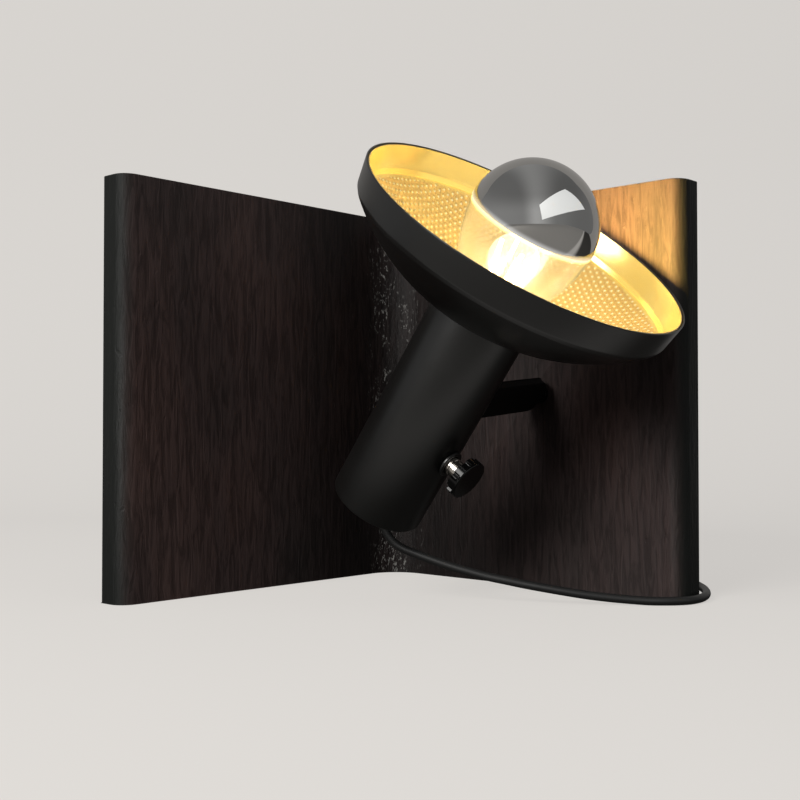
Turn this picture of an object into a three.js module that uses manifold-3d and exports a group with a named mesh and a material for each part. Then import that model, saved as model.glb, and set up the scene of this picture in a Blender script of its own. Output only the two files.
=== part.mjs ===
// An iron beam table lamp. A cut length of steel angle stands on its end as the base. An arm on its
// right flange tilts a tube that holds the switch, the lampholder, a gold-lined dish and a
// crown-mirror bulb. Millimetres, +Z up, the beam's opening towards -Y.
import * as THREE from "three";
import { mergeVertices } from "three/addons/utils/BufferGeometryUtils.js";
import Module from "manifold-3d";

const wasm = await Module();
wasm.setup();

// Clearances and tolerances
const gap = 0.3;
const overrun = 1;
const weld = 1e-4;

// Beam: an equal angle with a root fillet inside and a rounded toe on each flange
const beamWidth = 200;
const beamWall = 16;
const beamHeight = 200;
const rootRadius = 18;
const toeRadius = 10;

// Hinge: where it sits on the right flange, and how the head hangs on it at rest
const hingeAlong = 103;
const hingeHeight = 99;
const tilt = THREE.MathUtils.degToRad(37.78);
const lean = THREE.MathUtils.degToRad(1.3);
const skew = THREE.MathUtils.degToRad(6.61);
const studRadius = 3;
const studTail = 14;
const studCollarRadius = 3.6;
const studCollar = 0.9;
const studPegRadius = 1.2;
const studPeg = 4;
const bushWall = 0.9;
const bushFlangeRadius = 8;
const bushFlange = 1.2;
const springWasherRadius = 8;
const springWasherDish = 0.6;
const springWasherWall = 1;
const washerRadius = 9;
const washerWall = 1.6;
const pivotNutFlats = 10;
const pivotNutHeight = 6.4;

// Arm: a flat bar, edge on to the tube
const armReach = 96.33;
const armWidth = 18;
const armWall = 4.3;
const armCorner = 6.5;
const armTipGap = 1.8;

// Tube
const tubeRadius = 22.25;
const tubeWall = 1.5;
const tubeBottom = -54.8;
const tubeTop = 50.7;

// End cap, recessed in the tube's foot
const capRecess = 10.8;
const capWall = 1.8;
const capSkirt = 8;
const capSkirtWall = 1.5;
const capScrewRadius = 1.5;
const capScrewHead = 2.8;
const capScrewHeadHeight = 1.7;
const capScrewLength = 5;
const capScrewDrop = 5;
const capScrewTurns = [THREE.MathUtils.degToRad(60), THREE.MathUtils.degToRad(180)];

// Cord and its relief
const cordRadius = 2;
const reliefThreadRadius = 4;
const reliefShoulderRadius = 5.2;
const reliefShoulder = 1.3;
const reliefTipRadius = 2.5;
const reliefStraight = 3;
const reliefBend = 22;
const reliefTurn = THREE.MathUtils.degToRad(44);
const reliefHeading = THREE.MathUtils.degToRad(18.4);
const reliefNutFlats = 12;
const reliefNutHeight = 2.8;
const sheathLength = 8;
const wireRadius = 1;

// Terminal block against the tube's wall, and its screw
const blockWidth = 15;
const blockDepth = 8;
const blockHeight = 10;
const blockFoot = -34;
const blockFromAxis = 18.9;
const terminalScrewRadius = 1.6;
const terminalScrewHead = 2.2;
const terminalScrewLength = 3;

// Switch
const switchHeight = -14;
const switchWidth = 16;
const switchTall = 19.4;
const switchFront = 18.6;
const switchBack = 6;
const switchWall = 1.4;
const bushingRadius = 4.25;
const bushingFlangeRadius = 6.4;
const bushingFlange = 1.3;
const bushingOut = 8.05;
const ringNutRadius = 6.4;
const ringNutHeight = 1.2;
const spindleRadius = 2;
const rotorRadius = 5.5;
const rotorLug = 0.8;
const rotorHeight = 4.5;
const contactWall = 0.8;
const contactWidth = 4;
const contactLength = 6;
const knobRadius = 9.5;
const knobFlute = 1.15;
const knobLobes = 8;
const knobHeight = 4.85;
const knobEdge = 0.5;
const knobTurn = THREE.MathUtils.degToRad(32);
const knobRoof = 1.3;

// Lampholder
const bridgeWall = 2;
const bridgeWidth = 14;
const nippleRadius = 5;
const nippleWall = 1.1;
const nippleBelow = 3.8;
const nippleAbove = 4;
const nippleNutFlats = 14;
const nippleNutHeight = 3;
const holderRadius = 19;
const holderWall = 1.6;
const holderTop = 57;
const holderFootRadius = 12;
const holderFootRise = 4;
const coreFoot = 8.3;
const coreDeck = 16;
const coreTop = 24;

const screwShellRadius = 14.3;
const screwShellWall = 0.4;
const screwShellTop = 44;
const screwShellHole = 9;
const contactButtonRadius = 3;

// Shade and liner
const shadeJunction = 51;
const shadeHole = 19.6;
const shadeNeck = 22.5;
const shadeDishRadius = 90;
const shadeShoulder = 72.2;
const shadeShoulderHeight = 78.4;
const shadeBandFoot = 73.4;
const shadeBandFootHeight = 80.4;
const shadeRim = 75;
const shadeRimHeight = 92.45;
const shadeWall = 0.8;
const linerWall = 0.6;
const linerStepHeight = 82.3;
const linerStep = 0.8;
const shadeRingRadius = 22.3;
const shadeRingHeight = 3.5;

// Bulb: a 60 mm class lamp with a mirrored crown
const bulbRadius = 28.25;
const bulbCentre = 95.1;
const bulbGlassWall = 0.7;
const bulbNeckRadius = 12.2;
const bulbNeckTop = 47;
const bulbNeckFoot = 36;
const bulbWaistRadius = 13.6;
const bulbWaist = 50.5;
const bulbFlareRadius = 17.5;
const bulbFlare = 62;
const bulbShoulder = 79.1;
const mirrorGap = 0.2;
const mirrorWall = 0.2;
const bulbCapRadius = 13.1;
const bulbCapWall = 0.5;
const bulbCapTop = 46.5;
const bulbCapFoot = 24.5;
const bulbThread = 0.5;
const bulbThreadPitch = 3.63;
const insulatorHeight = 3.3;
const insulatorTipRadius = 5.5;
const insulatorRadius = 11.5;
const bulbContactRadius = 4.75;
const bulbContactHeight = 1.2;
const stemFootRadius = 10.9;
const stemFlare = 8;
const stemRadius = 2;
const stemTop = 80;
const stemButtonRadius = 2.6;
const collarHeight = 2.4;
const collarRadius = 4.2;
const collarFoot = 57;
const filamentRadius = 0.9;
const filamentTopReach = 8.5;
const filamentRise = 27;
const filamentCount = 4;

// Coil, tie and plug, put away behind the right flange
const coilCentre = new THREE.Vector2(101, -15);
const coilInner = 19.8;
const coilPitch = 4.45;
const coilLayer = 4.45;
const coilTurnsDown = 4;
const coilTurnsUp = 4.25;
const coilLoopSteps = 24;
const coilSides = 6;
const tieWall = 0.8;
const tieWidth = 9;
const tieRoom = 0.5;
const plugAxis = 6.95;
const plugThickness = 13.6;
const plugWidth = 35;
const plugTailWidth = 15;
const plugLength = 35;
const plugReliefLength = 20;
const plugReliefRadius = 4;
const plugTailRun = 13;
const pinRadius = 2;
const pinLength = 19;
const pinSpacing = 19;

// Smoothness of the round pieces
const fineSides = 44;
const roundSides = 26;
const smallSides = 12;
const wireSides = 6;
const cordSides = 8;
const arcSteps = 6;

// Finishes
const finish = (color, roughness, metalness, opacity = 1) =>
  new THREE.MeshStandardMaterial({ color, roughness, metalness, opacity, transparent: opacity < 1 });
const millScale = finish(0x1b1816, 0.6, 0.5);
const blackPaint = finish(0x171616, 0.5, 0.2);
const gold = finish(0xd8a24a, 0.25, 1);
const clearGlass = finish(0xf4f6f6, 0.02, 0, 0.3);
const mirror = finish(0xc8c8c8, 0.05, 1);
const blackPlastic = finish(0x141414, 0.45, 0);
const cordRubber = finish(0x101010, 0.6, 0);
const nickel = finish(0xc9c5bd, 0.25, 1);
const zinc = finish(0xa9adb0, 0.4, 1);
const brass = finish(0xb8923f, 0.35, 1);
const ceramic = finish(0xe9e4d8, 0.5, 0);
const nylon = finish(0xd9d6cc, 0.5, 0);
const copperSheath = finish(0x7a3b22, 0.5, 0);
const glowing = finish(0xffd9a0, 0.6, 0);

// Solids from three.js geometry
function solidOf(geometry) {
  const bare = geometry.clone();
  bare.deleteAttribute("normal");
  bare.deleteAttribute("uv");
  const merged = mergeVertices(bare, weld);
  const vertProperties = new Float32Array(merged.attributes.position.array);
  const index = merged.index.array;
  const corner = (i) => new THREE.Vector3().fromArray(vertProperties, 3 * i);
  const triangles = [];
  let volume = 0;
  for (let i = 0; i < index.length; i += 3) {
    const [a, b, c] = [index[i], index[i + 1], index[i + 2]];
    if (a !== b && b !== c && c !== a) {
      triangles.push([a, b, c]);
      volume += corner(a).dot(corner(b).cross(corner(c)));
    }
  }
  const outward = volume > 0 ? triangles : triangles.map(([a, b, c]) => [a, c, b]);
  const triVerts = new Uint32Array(outward.flat());
  return new wasm.Manifold(new wasm.Mesh({ numProp: 3, vertProperties, triVerts }));
}

function geometryOf(solid) {
  const { vertProperties, triVerts } = solid.getMesh();
  const geometry = new THREE.BufferGeometry();
  geometry.setAttribute("position", new THREE.BufferAttribute(new Float32Array(vertProperties), 3));
  geometry.setIndex(new THREE.BufferAttribute(new Uint32Array(triVerts), 1));
  return geometry;
}

const cut = (base, ...tools) =>
  geometryOf(tools.reduce((rest, tool) => rest.subtract(solidOf(tool)), solidOf(base)));
const join = (base, ...more) =>
  geometryOf(more.reduce((rest, piece) => rest.add(solidOf(piece)), solidOf(base)));
const meet = (base, other) => geometryOf(solidOf(base).intersect(solidOf(other)));

function addPiece(parent, name, geometry, material) {
  const mesh = new THREE.Mesh(geometryOf(solidOf(geometry)), material);
  mesh.geometry.computeVertexNormals();
  mesh.name = name;
  parent.add(mesh);
  return mesh;
}

// A closed outline of [radius, height] pairs, turned about Z
function turned(outline, sides) {
  const points = outline.map(([radius, height]) => new THREE.Vector2(radius, height));
  return new THREE.LatheGeometry(points, sides).rotateX(Math.PI / 2);
}

const disc = (radius, low, high, sides) =>
  turned([[0, low], [radius, low], [radius, high], [0, high]], sides);

function ring(inner, outer, low, high, sides) {
  return turned([[inner, low], [outer, low], [outer, high], [inner, high], [inner, low]], sides);
}

function block(x, y, z) {
  const box = new THREE.BoxGeometry(x[1] - x[0], y[1] - y[0], z[1] - z[0]);
  return box.translate((x[0] + x[1]) / 2, (y[0] + y[1]) / 2, (z[0] + z[1]) / 2);
}

// A hexagonal nut with a plain bore, its flats this far apart
function nut(flats, bore, low, high) {
  const corners = flats / Math.sqrt(3);
  return cut(disc(corners, low, high, 6), disc(bore, low - overrun, high + overrun, smallSides));
}

const alongX = (geometry) => geometry.rotateY(Math.PI / 2);
const alongY = (geometry) => geometry.rotateX(-Math.PI / 2);

function roundSection(radius, sides) {
  const corners = Array.from({ length: sides }, (_, i) => {
    const angle = (2 * Math.PI * i) / sides;
    return new THREE.Vector2(radius * Math.cos(angle), radius * Math.sin(angle));
  });
  return new THREE.Shape(corners);
}

function tubeAlong(points, radius, sides, steps) {
  const path = new THREE.CatmullRomCurve3(points.map((p) => new THREE.Vector3(...p)), false, "centripetal");
  return new THREE.ExtrudeGeometry(roundSection(radius, sides), { steps, extrudePath: path });
}

// A closed tube with a ring of corners round each point, its radius given point by point
function sweep(points, radii, sides) {
  const rings = points.map((point, i) => {
    const ahead = points[Math.min(i + 1, points.length - 1)];
    const behind = points[Math.max(i - 1, 0)];
    return { point, along: ahead.clone().sub(behind).normalize(), radius: radii[i] };
  });
  const start = rings[0].along;
  const across = Math.abs(start.y) > Math.abs(start.x) ? [1, 0, 0] : [0, 1, 0];
  let side = new THREE.Vector3(...across).cross(start).normalize();
  const position = [];
  for (const { point, along, radius } of rings) {
    side = side.sub(along.clone().multiplyScalar(side.dot(along))).normalize();
    const up = along.clone().cross(side);
    for (let k = 0; k < sides; k += 1) {
      const angle = (2 * Math.PI * k) / sides;
      const corner = point.clone().addScaledVector(side, radius * Math.cos(angle));
      position.push(...corner.addScaledVector(up, radius * Math.sin(angle)).toArray());
    }
  }
  position.push(...points[0].toArray(), ...points[points.length - 1].toArray());
  const index = [];
  const first = points.length * sides;
  for (let i = 0; i < points.length - 1; i += 1) {
    for (let k = 0; k < sides; k += 1) {
      const a = i * sides + k;
      const b = i * sides + ((k + 1) % sides);
      index.push(a, b, b + sides, a, b + sides, a + sides);
    }
  }
  for (let k = 0; k < sides; k += 1) {
    const next = (k + 1) % sides;
    const last = (points.length - 1) * sides;
    index.push(first, next, k, first + 1, last + k, last + next);
  }
  const geometry = new THREE.BufferGeometry();
  geometry.setAttribute("position", new THREE.Float32BufferAttribute(position, 3));
  return geometry.setIndex(index);
}

// Groups. The lamp frame has the beam's inner corner as its origin. The flange frame runs along the
// right flange, with +Y into it. The head frame has the tube's axis as Z and the flange at +Y.
const lamp = new THREE.Group();
const flangeFrame = new THREE.Group();
flangeFrame.rotation.z = -Math.PI / 4;
lamp.add(flangeFrame);
const hingeFrame = new THREE.Group();
hingeFrame.position.set(hingeAlong, 0, hingeHeight);
flangeFrame.add(hingeFrame);
const armFrame = new THREE.Group();
armFrame.rotation.set(lean, tilt, skew, "YXZ");
hingeFrame.add(armFrame);
const head = new THREE.Group();
head.position.y = -armReach;
armFrame.add(head);

// Beam
const flangeInner = beamWidth - beamWall;
const beamOutline = new THREE.Shape();
beamOutline.moveTo(-beamWall, beamWall);
beamOutline.lineTo(-beamWall, -flangeInner);
beamOutline.lineTo(-toeRadius, -flangeInner);
beamOutline.absarc(-toeRadius, toeRadius - flangeInner, toeRadius, -Math.PI / 2, 0, false);
beamOutline.lineTo(0, -rootRadius);
beamOutline.absarc(rootRadius, -rootRadius, rootRadius, Math.PI, Math.PI / 2, true);
beamOutline.lineTo(flangeInner - toeRadius, 0);
beamOutline.absarc(flangeInner - toeRadius, toeRadius, toeRadius, -Math.PI / 2, 0, false);
beamOutline.lineTo(flangeInner, beamWall);
const bushRadius = studRadius + gap + bushWall;
const pivotHole = alongY(disc(bushRadius + gap, -overrun, beamWall + overrun, smallSides));
const drawnOut = (outline, depth) =>
  new THREE.ExtrudeGeometry(outline, { depth, bevelEnabled: false, curveSegments: arcSteps });
const beam = drawnOut(beamOutline, beamHeight);
addPiece(flangeFrame, "beam_angle", cut(beam, pivotHole.translate(hingeAlong, 0, hingeHeight)), millScale);

// Hinge hardware, along +Y of the hinge frame
const boreRadius = studRadius + gap;
const bushFlangeBack = beamWall + gap + bushFlange;
const bushSleeve = ring(boreRadius, bushRadius, 0, bushFlangeBack, smallSides);
const bushCollar = ring(boreRadius, bushFlangeRadius, beamWall + gap, bushFlangeBack, smallSides);
addPiece(hingeFrame, "pivot_bush", alongY(join(bushSleeve, bushCollar)), blackPlastic);
const springFoot = bushFlangeBack + gap;
const springTop = springFoot + springWasherDish + springWasherWall;
const springOutline = [
  [boreRadius, springTop - springWasherWall], [springWasherRadius, springFoot],
  [springWasherRadius, springFoot + springWasherWall], [boreRadius, springTop],
  [boreRadius, springTop - springWasherWall],
];
addPiece(hingeFrame, "pivot_spring_washer", alongY(turned(springOutline, smallSides)), zinc);
const washerFoot = springTop + gap;
const washerTop = washerFoot + washerWall;
const pivotWasher = ring(boreRadius, washerRadius, washerFoot, washerTop, smallSides);
addPiece(hingeFrame, "pivot_washer", alongY(pivotWasher), zinc);
const nutFoot = washerTop + gap;
const nutTop = nutFoot + pivotNutHeight;
addPiece(hingeFrame, "pivot_nut", alongY(nut(pivotNutFlats, boreRadius, nutFoot, nutTop)), zinc);
const studFront = -gap - studCollar;
const studOutline = [
  [0, studFront - studPeg], [studPegRadius, studFront - studPeg], [studPegRadius, studFront],
  [studCollarRadius, studFront], [studCollarRadius, -gap], [studRadius, -gap],
  [studRadius, beamWall + studTail], [0, beamWall + studTail],
];
addPiece(hingeFrame, "pivot_stud", alongY(turned(studOutline, smallSides)), blackPaint);

// Arm, from the tube's wall to just off the flange, its end corners rounded
const armStart = gap + tubeRadius - armReach;
const armOutline = new THREE.Shape();
armOutline.moveTo(armStart, -armWidth / 2);
armOutline.lineTo(-armTipGap - armCorner, -armWidth / 2);
armOutline.absarc(-armTipGap - armCorner, armCorner - armWidth / 2, armCorner, -Math.PI / 2, 0, false);
armOutline.absarc(-armTipGap - armCorner, armWidth / 2 - armCorner, armCorner, 0, Math.PI / 2, false);
armOutline.lineTo(armStart, armWidth / 2);
const armBar = drawnOut(armOutline, armWall);
armBar.rotateX(Math.PI / 2).rotateZ(Math.PI / 2).translate(-armWall / 2, 0, 0);
const armTurn = new THREE.Matrix4().makeRotationFromEuler(armFrame.rotation);
const pegHole = alongY(disc(studPegRadius + gap, studFront - studPeg - gap, 0, smallSides));
addPiece(armFrame, "swing_arm", cut(armBar, pegHole.applyMatrix4(armTurn.clone().invert())), blackPaint);

// Tube, with holes for the switch, the end cap's screws and the block's screw
const tubeInner = tubeRadius - tubeWall;
const capFace = tubeBottom + capRecess;
const capScrewHeight = capFace + capScrewDrop;
const blockScrewHeight = blockFoot + blockHeight / 2;
const radialHole = (radius, from, height, turn) =>
  alongX(disc(radius, from, tubeRadius + overrun, smallSides)).translate(0, 0, height).rotateZ(turn);
const screwHole = capScrewRadius + gap;
const tube = cut(
  ring(tubeInner, tubeRadius, tubeBottom, tubeTop, fineSides),
  radialHole(bushingRadius + gap, switchFront, switchHeight, 0),
  ...capScrewTurns.map((turn) => radialHole(screwHole, 0, capScrewHeight, turn)),
  radialHole(screwHole, 0, blockScrewHeight, Math.PI),
);
addPiece(head, "lamp_tube", tube, blackPaint);

// End cap and its screws
const fitRadius = tubeInner - gap;
const capInside = capFace + capWall;
const capSkirtTop = capFace + capSkirt;
const capOutline = [
  [reliefThreadRadius + gap, capFace], [fitRadius, capFace], [fitRadius, capSkirtTop],
  [fitRadius - capSkirtWall, capSkirtTop], [fitRadius - capSkirtWall, capInside],
  [reliefThreadRadius + gap, capInside], [reliefThreadRadius + gap, capFace],
];
const capScrewHoles = capScrewTurns.map((turn) => radialHole(screwHole, 0, capScrewHeight, turn));
addPiece(head, "tube_end_cap", cut(turned(capOutline, roundSides), ...capScrewHoles), blackPaint);
const panHead = tubeRadius + gap;
const screwOutline = [
  [0, panHead - capScrewLength], [capScrewRadius, panHead - capScrewLength], [capScrewRadius, panHead],
  [capScrewHead, panHead], [capScrewHead, panHead + capScrewHeadHeight / 2],
  [capScrewHead / 2, panHead + capScrewHeadHeight], [0, panHead + capScrewHeadHeight],
];
const panScrew = (height, turn) =>
  alongX(turned(screwOutline, smallSides)).translate(0, 0, height).rotateZ(turn);
capScrewTurns.forEach((turn, i) => {
  addPiece(head, `end_cap_screw_${i + 1}`, panScrew(capScrewHeight, turn), blackPaint);
});

// Cord relief: a threaded barrel with a shoulder under the cap, then a tapered tail that bends
// with the cord
const reliefTop = capInside + gap + reliefNutHeight + gap;
const shoulderTop = capFace - gap;
const barrelOutline = [
  [0, shoulderTop - reliefShoulder], [reliefShoulderRadius, shoulderTop - reliefShoulder],
  [reliefShoulderRadius, shoulderTop], [reliefThreadRadius, shoulderTop],
  [reliefThreadRadius, reliefTop], [0, reliefTop],
];
const bendTop = capFace - reliefStraight;
const tail = Array.from({ length: arcSteps + 1 }, (_, i) => {
  const angle = (reliefTurn * i) / arcSteps;
  const out = reliefBend * (1 - Math.cos(angle));
  const down = bendTop - reliefBend * Math.sin(angle);
  return new THREE.Vector3(out * Math.cos(reliefHeading), out * Math.sin(reliefHeading), down);
});
const tailPoints = [new THREE.Vector3(0, 0, shoulderTop - reliefShoulder / 2), ...tail];
const taper = (i) => THREE.MathUtils.lerp(reliefThreadRadius, reliefTipRadius, i / arcSteps);
const tailRadii = [reliefThreadRadius, ...tail.map((_, i) => taper(i))];
const relief = join(turned(barrelOutline, smallSides), sweep(tailPoints, tailRadii, smallSides));
addPiece(head, "cord_relief", relief, cordRubber);
const reliefNutFoot = capInside + gap;
const reliefNutTop = reliefNutFoot + reliefNutHeight;
const reliefNut = nut(reliefNutFlats, reliefThreadRadius + gap, reliefNutFoot, reliefNutTop);
addPiece(head, "relief_nut", reliefNut, nylon);
const sheathFoot = reliefTop + gap;
const sheathTop = sheathFoot + sheathLength;
addPiece(head, "cord_sheath_end", disc(cordRadius, sheathFoot, sheathTop, smallSides), cordRubber);

// Terminal block, its fixing screw and its two brass screws
const blockTop = blockFoot + blockHeight;
const blockFace = blockDepth - blockFromAxis;
const terminalAt = [-1, 1].map((sign) => (sign * blockWidth) / 4);
const terminalHoleEnd = blockFace - terminalScrewLength - gap;
const terminalHole = (y) =>
  alongX(disc(terminalScrewRadius + gap, terminalHoleEnd, 0, smallSides)).translate(0, y, blockScrewHeight);
const terminalBlock = cut(
  block([-blockFromAxis, blockFace], [-blockWidth / 2, blockWidth / 2], [blockFoot, blockTop]),
  radialHole(screwHole, tubeRadius - capScrewLength - gap, blockScrewHeight, Math.PI),
  ...terminalAt.map(terminalHole),
);
addPiece(head, "terminal_block", terminalBlock, ceramic);
addPiece(head, "block_screw", panScrew(blockScrewHeight, Math.PI), zinc);
const terminalOutline = [
  [0, blockFace - terminalScrewLength], [terminalScrewRadius, blockFace - terminalScrewLength],
  [terminalScrewRadius, blockFace + gap], [terminalScrewHead, blockFace + gap],
  [terminalScrewHead, blockFace + gap + terminalScrewRadius], [0, blockFace + gap + terminalScrewRadius],
];
terminalAt.forEach((y, i) => {
  const screw = alongX(turned(terminalOutline, smallSides)).translate(0, y, blockScrewHeight);
  addPiece(head, `terminal_screw_${i + 1}`, screw, brass);
});

// Switch: a case with a cover, on a threaded bushing through the tube's wall
const half = switchWidth / 2;
const tall = switchTall / 2;
const caseFloor = switchFront - switchWall;
const onSwitch = (geometry) => alongX(geometry).translate(0, 0, switchHeight);
const switchCase = cut(
  block([switchBack, switchFront], [-half, half], [switchHeight - tall, switchHeight + tall]),
  block(
    [switchBack - overrun, caseFloor],
    [switchWall - half, half - switchWall],
    [switchHeight + switchWall - tall, switchHeight + tall - switchWall],
  ),
  onSwitch(disc(bushingRadius + gap, caseFloor - overrun, switchFront + overrun, smallSides)),
);
addPiece(head, "switch_case", switchCase, blackPlastic);
const coverFace = switchBack - gap;
const coverTall = [switchHeight - tall, switchHeight + tall];
const switchCover = block([coverFace - switchWall, coverFace], [-half, half], coverTall);
addPiece(head, "switch_cover", switchCover, blackPlastic);
const collarEnd = tubeRadius + bushingOut;
const flangeFace = caseFloor - gap;
const bushingOutline = [
  [spindleRadius + gap, flangeFace - bushingFlange], [bushingFlangeRadius, flangeFace - bushingFlange],
  [bushingFlangeRadius, flangeFace], [bushingRadius, flangeFace], [bushingRadius, collarEnd],
  [spindleRadius + gap, collarEnd], [spindleRadius + gap, flangeFace - bushingFlange],
];
addPiece(head, "switch_collar", onSwitch(turned(bushingOutline, smallSides)), nickel);
const ringNutFoot = tubeRadius + gap;
const ringNutTop = ringNutFoot + ringNutHeight;
const ringNut = ring(bushingRadius + gap, ringNutRadius, ringNutFoot, ringNutTop, roundSides);
addPiece(head, "switch_ring_nut", onSwitch(ringNut), blackPaint);
const knobFoot = collarEnd + gap;
const spindleEnd = knobFoot + knobHeight - knobRoof - gap;
const rotorFoot = flangeFace - bushingFlange - gap - rotorHeight;
const spindleStart = coverFace + gap;
addPiece(head, "switch_spindle", onSwitch(disc(spindleRadius, spindleStart, spindleEnd, smallSides)), zinc);
const rotorTop = rotorFoot + rotorHeight;
const lugReach = rotorRadius + rotorLug;
const rotorBody = join(
  disc(rotorRadius, rotorFoot, rotorTop, smallSides),
  block([0, lugReach], [-rotorLug, rotorLug], [rotorFoot, rotorTop]),
);
const rotorBore = disc(spindleRadius + gap, rotorFoot - overrun, rotorTop + overrun, smallSides);
addPiece(head, "switch_rotor", onSwitch(cut(rotorBody, rotorBore)), blackPlastic);
[-1, 1].forEach((sign, i) => {
  const wallFace = tall - switchWall - gap;
  const heights = [wallFace - contactWall, wallFace].map((z) => switchHeight + sign * z);
  const depth = [switchBack + gap, switchBack + gap + contactLength];
  const contact = block(depth, [-contactWidth / 2, contactWidth / 2], heights.sort((p, q) => p - q));
  addPiece(head, `switch_contact_${i + 1}`, contact, brass);
});

// Knob: a fluted cap with eight lobes and a blind bore
const knobPoints = knobLobes * smallSides / 2;
const knobCorners = Array.from({ length: knobPoints }, (_, i) => {
  const angle = (2 * Math.PI * i) / knobPoints;
  const flute = Math.abs(Math.sin((knobLobes * (angle - knobTurn)) / 2));
  const radius = knobRadius - knobEdge - knobFlute * (1 - flute);
  return new THREE.Vector2(radius * Math.cos(angle), radius * Math.sin(angle));
});
const knobBody = new THREE.ExtrudeGeometry(new THREE.Shape(knobCorners), {
  depth: knobHeight - 2 * knobEdge,
  bevelThickness: knobEdge,
  bevelSize: knobEdge,
  bevelSegments: 2,
}).translate(0, 0, knobFoot + knobEdge);
const knobBore = disc(spindleRadius + gap, knobFoot - overrun, knobFoot + knobHeight - knobRoof, smallSides);
addPiece(head, "switch_knob", onSwitch(cut(knobBody, knobBore)), blackPlastic);

// Lampholder: a bridge across the tube, a nipple with its nut, and the holder on top
const bridge = meet(
  disc(fitRadius, 0, bridgeWall, roundSides),
  block([-tubeRadius, tubeRadius], [-bridgeWidth / 2, bridgeWidth / 2], [-overrun, bridgeWall + overrun]),
);
const nippleHole = disc(nippleRadius + gap, -overrun, bridgeWall + overrun, smallSides);
addPiece(head, "holder_bridge", cut(bridge, nippleHole), zinc);
const nippleTop = bridgeWall + nippleAbove;
const nipple = ring(nippleRadius - nippleWall, nippleRadius, -nippleBelow, nippleTop, smallSides);
addPiece(head, "holder_nipple", nipple, brass);
addPiece(head, "nipple_nut", nut(nippleNutFlats, nippleRadius + gap, -gap - nippleNutHeight, -gap), zinc);
const holderFoot = bridgeWall + gap;
const holderInner = holderRadius - holderWall;
const holderFloor = holderFoot + holderWall;
const holderWaist = holderFoot + holderFootRise;
const holderOutline = [
  [nippleRadius + gap, holderFoot], [holderFootRadius, holderFoot], [holderRadius, holderWaist],
  [holderRadius, holderTop], [holderInner, holderTop], [holderInner, holderWaist + holderWall / 2],
  [holderFootRadius - holderWall / 2, holderFloor], [nippleRadius + gap, holderFloor],
  [nippleRadius + gap, holderFoot],
];
const feedHole = (x) =>
  disc(wireRadius + gap, holderFoot - overrun, holderFloor + overrun, smallSides).translate(x, 0, 0);
const feedReach = (nippleRadius + holderFootRadius) / 2;
const holderShell = cut(turned(holderOutline, roundSides), feedHole(-feedReach), feedHole(feedReach));
addPiece(head, "holder_shell", holderShell, blackPlastic);
const coreRadius = holderInner - gap;
const coreOutline = [
  [0, coreFoot], [coreRadius, coreFoot], [coreRadius, coreTop], [screwShellRadius + gap, coreTop],
  [screwShellRadius + gap, coreDeck], [0, coreDeck],
];
addPiece(head, "holder_core", turned(coreOutline, roundSides), ceramic);
const shellFoot = coreDeck + gap;
const screwShellBore = screwShellRadius - screwShellWall;
const screwShellOutline = [
  [screwShellHole, shellFoot], [screwShellRadius, shellFoot], [screwShellRadius, screwShellTop],
  [screwShellBore, screwShellTop], [screwShellBore, shellFoot + screwShellWall],
  [screwShellHole, shellFoot + screwShellWall], [screwShellHole, shellFoot],
];
addPiece(head, "holder_screw_shell", turned(screwShellOutline, roundSides), brass);
const bulbFoot = bulbCapFoot - gap - insulatorHeight - gap - bulbContactHeight;
const centreContact = disc(contactButtonRadius, shellFoot, bulbFoot - gap, smallSides);
addPiece(head, "holder_centre_contact", centreContact, brass);

// Internal wires, from the sheath to the switch and the block, and on to the holder
const wireFoot = sheathTop + gap;
const caseUnder = switchHeight - tall - gap;
const caseOver = switchHeight + tall + gap;
const bridgeSide = bridgeWidth / 2 + wireRadius + gap;
const wireBlockReach = -blockFromAxis + blockDepth / 2;
const wireCaseReach = (switchBack + switchFront) / 2;
const wires = {
  wire_supply_live: [
    [wireRadius + gap / 2, 0, wireFoot],
    [wireRadius + gap / 2, 0, wireFoot + wireRadius],
    [wireCaseReach, 0, caseUnder - wireRadius],
    [wireCaseReach, 0, caseUnder],
  ],
  wire_supply_neutral: [
    [-wireRadius - gap / 2, 0, wireFoot],
    [-wireRadius - gap / 2, 0, wireFoot + wireRadius],
    [(blockFace + wireRadius) / 2, 0, wireFoot + 3 * wireRadius],
    [blockFace + wireRadius + gap, 0, wireFoot + 3 * wireRadius],
  ],
  wire_lamp_neutral: [
    [wireBlockReach, 0, blockTop + gap],
    [wireBlockReach, 0, blockTop + 3 * wireRadius],
    [-feedReach, bridgeSide, caseOver - 2 * wireRadius],
    [-feedReach, bridgeSide, -bridgeWall],
    [-feedReach, bridgeSide, holderFoot - gap - wireRadius],
  ],
  wire_lamp_live: [
    [wireCaseReach, wireRadius - half, caseOver + gap],
    [wireCaseReach, wireRadius - half - gap, caseOver + gap + wireRadius],
    [(wireCaseReach + feedReach) / 2, -bridgeSide, -wireRadius],
    [feedReach, -bridgeSide, holderFoot - gap - wireRadius],
  ],
};
for (const [name, points] of Object.entries(wires)) {
  addPiece(head, name, tubeAlong(points, wireRadius, wireSides, arcSteps), copperSheath);
}

// Shade: a flat seat on the tube's top, a round dish, a shoulder and a straight band, all this far
// inside the outer face
const shadeChord = new THREE.Vector2(shadeShoulder - shadeNeck, shadeShoulderHeight - shadeJunction);
const chordHalf = shadeChord.length() / 2;
const chordLift = Math.sqrt(shadeDishRadius ** 2 - chordHalf ** 2);
const chordSide = new THREE.Vector2(-shadeChord.y, shadeChord.x).normalize();
const chordMiddle = new THREE.Vector2(shadeNeck, shadeJunction).addScaledVector(shadeChord, 1 / 2);
const dishCentre = chordMiddle.addScaledVector(chordSide, chordLift);
const shoulderAngle = Math.atan2(shadeShoulderHeight - dishCentre.y, shadeShoulder - dishCentre.x);

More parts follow.
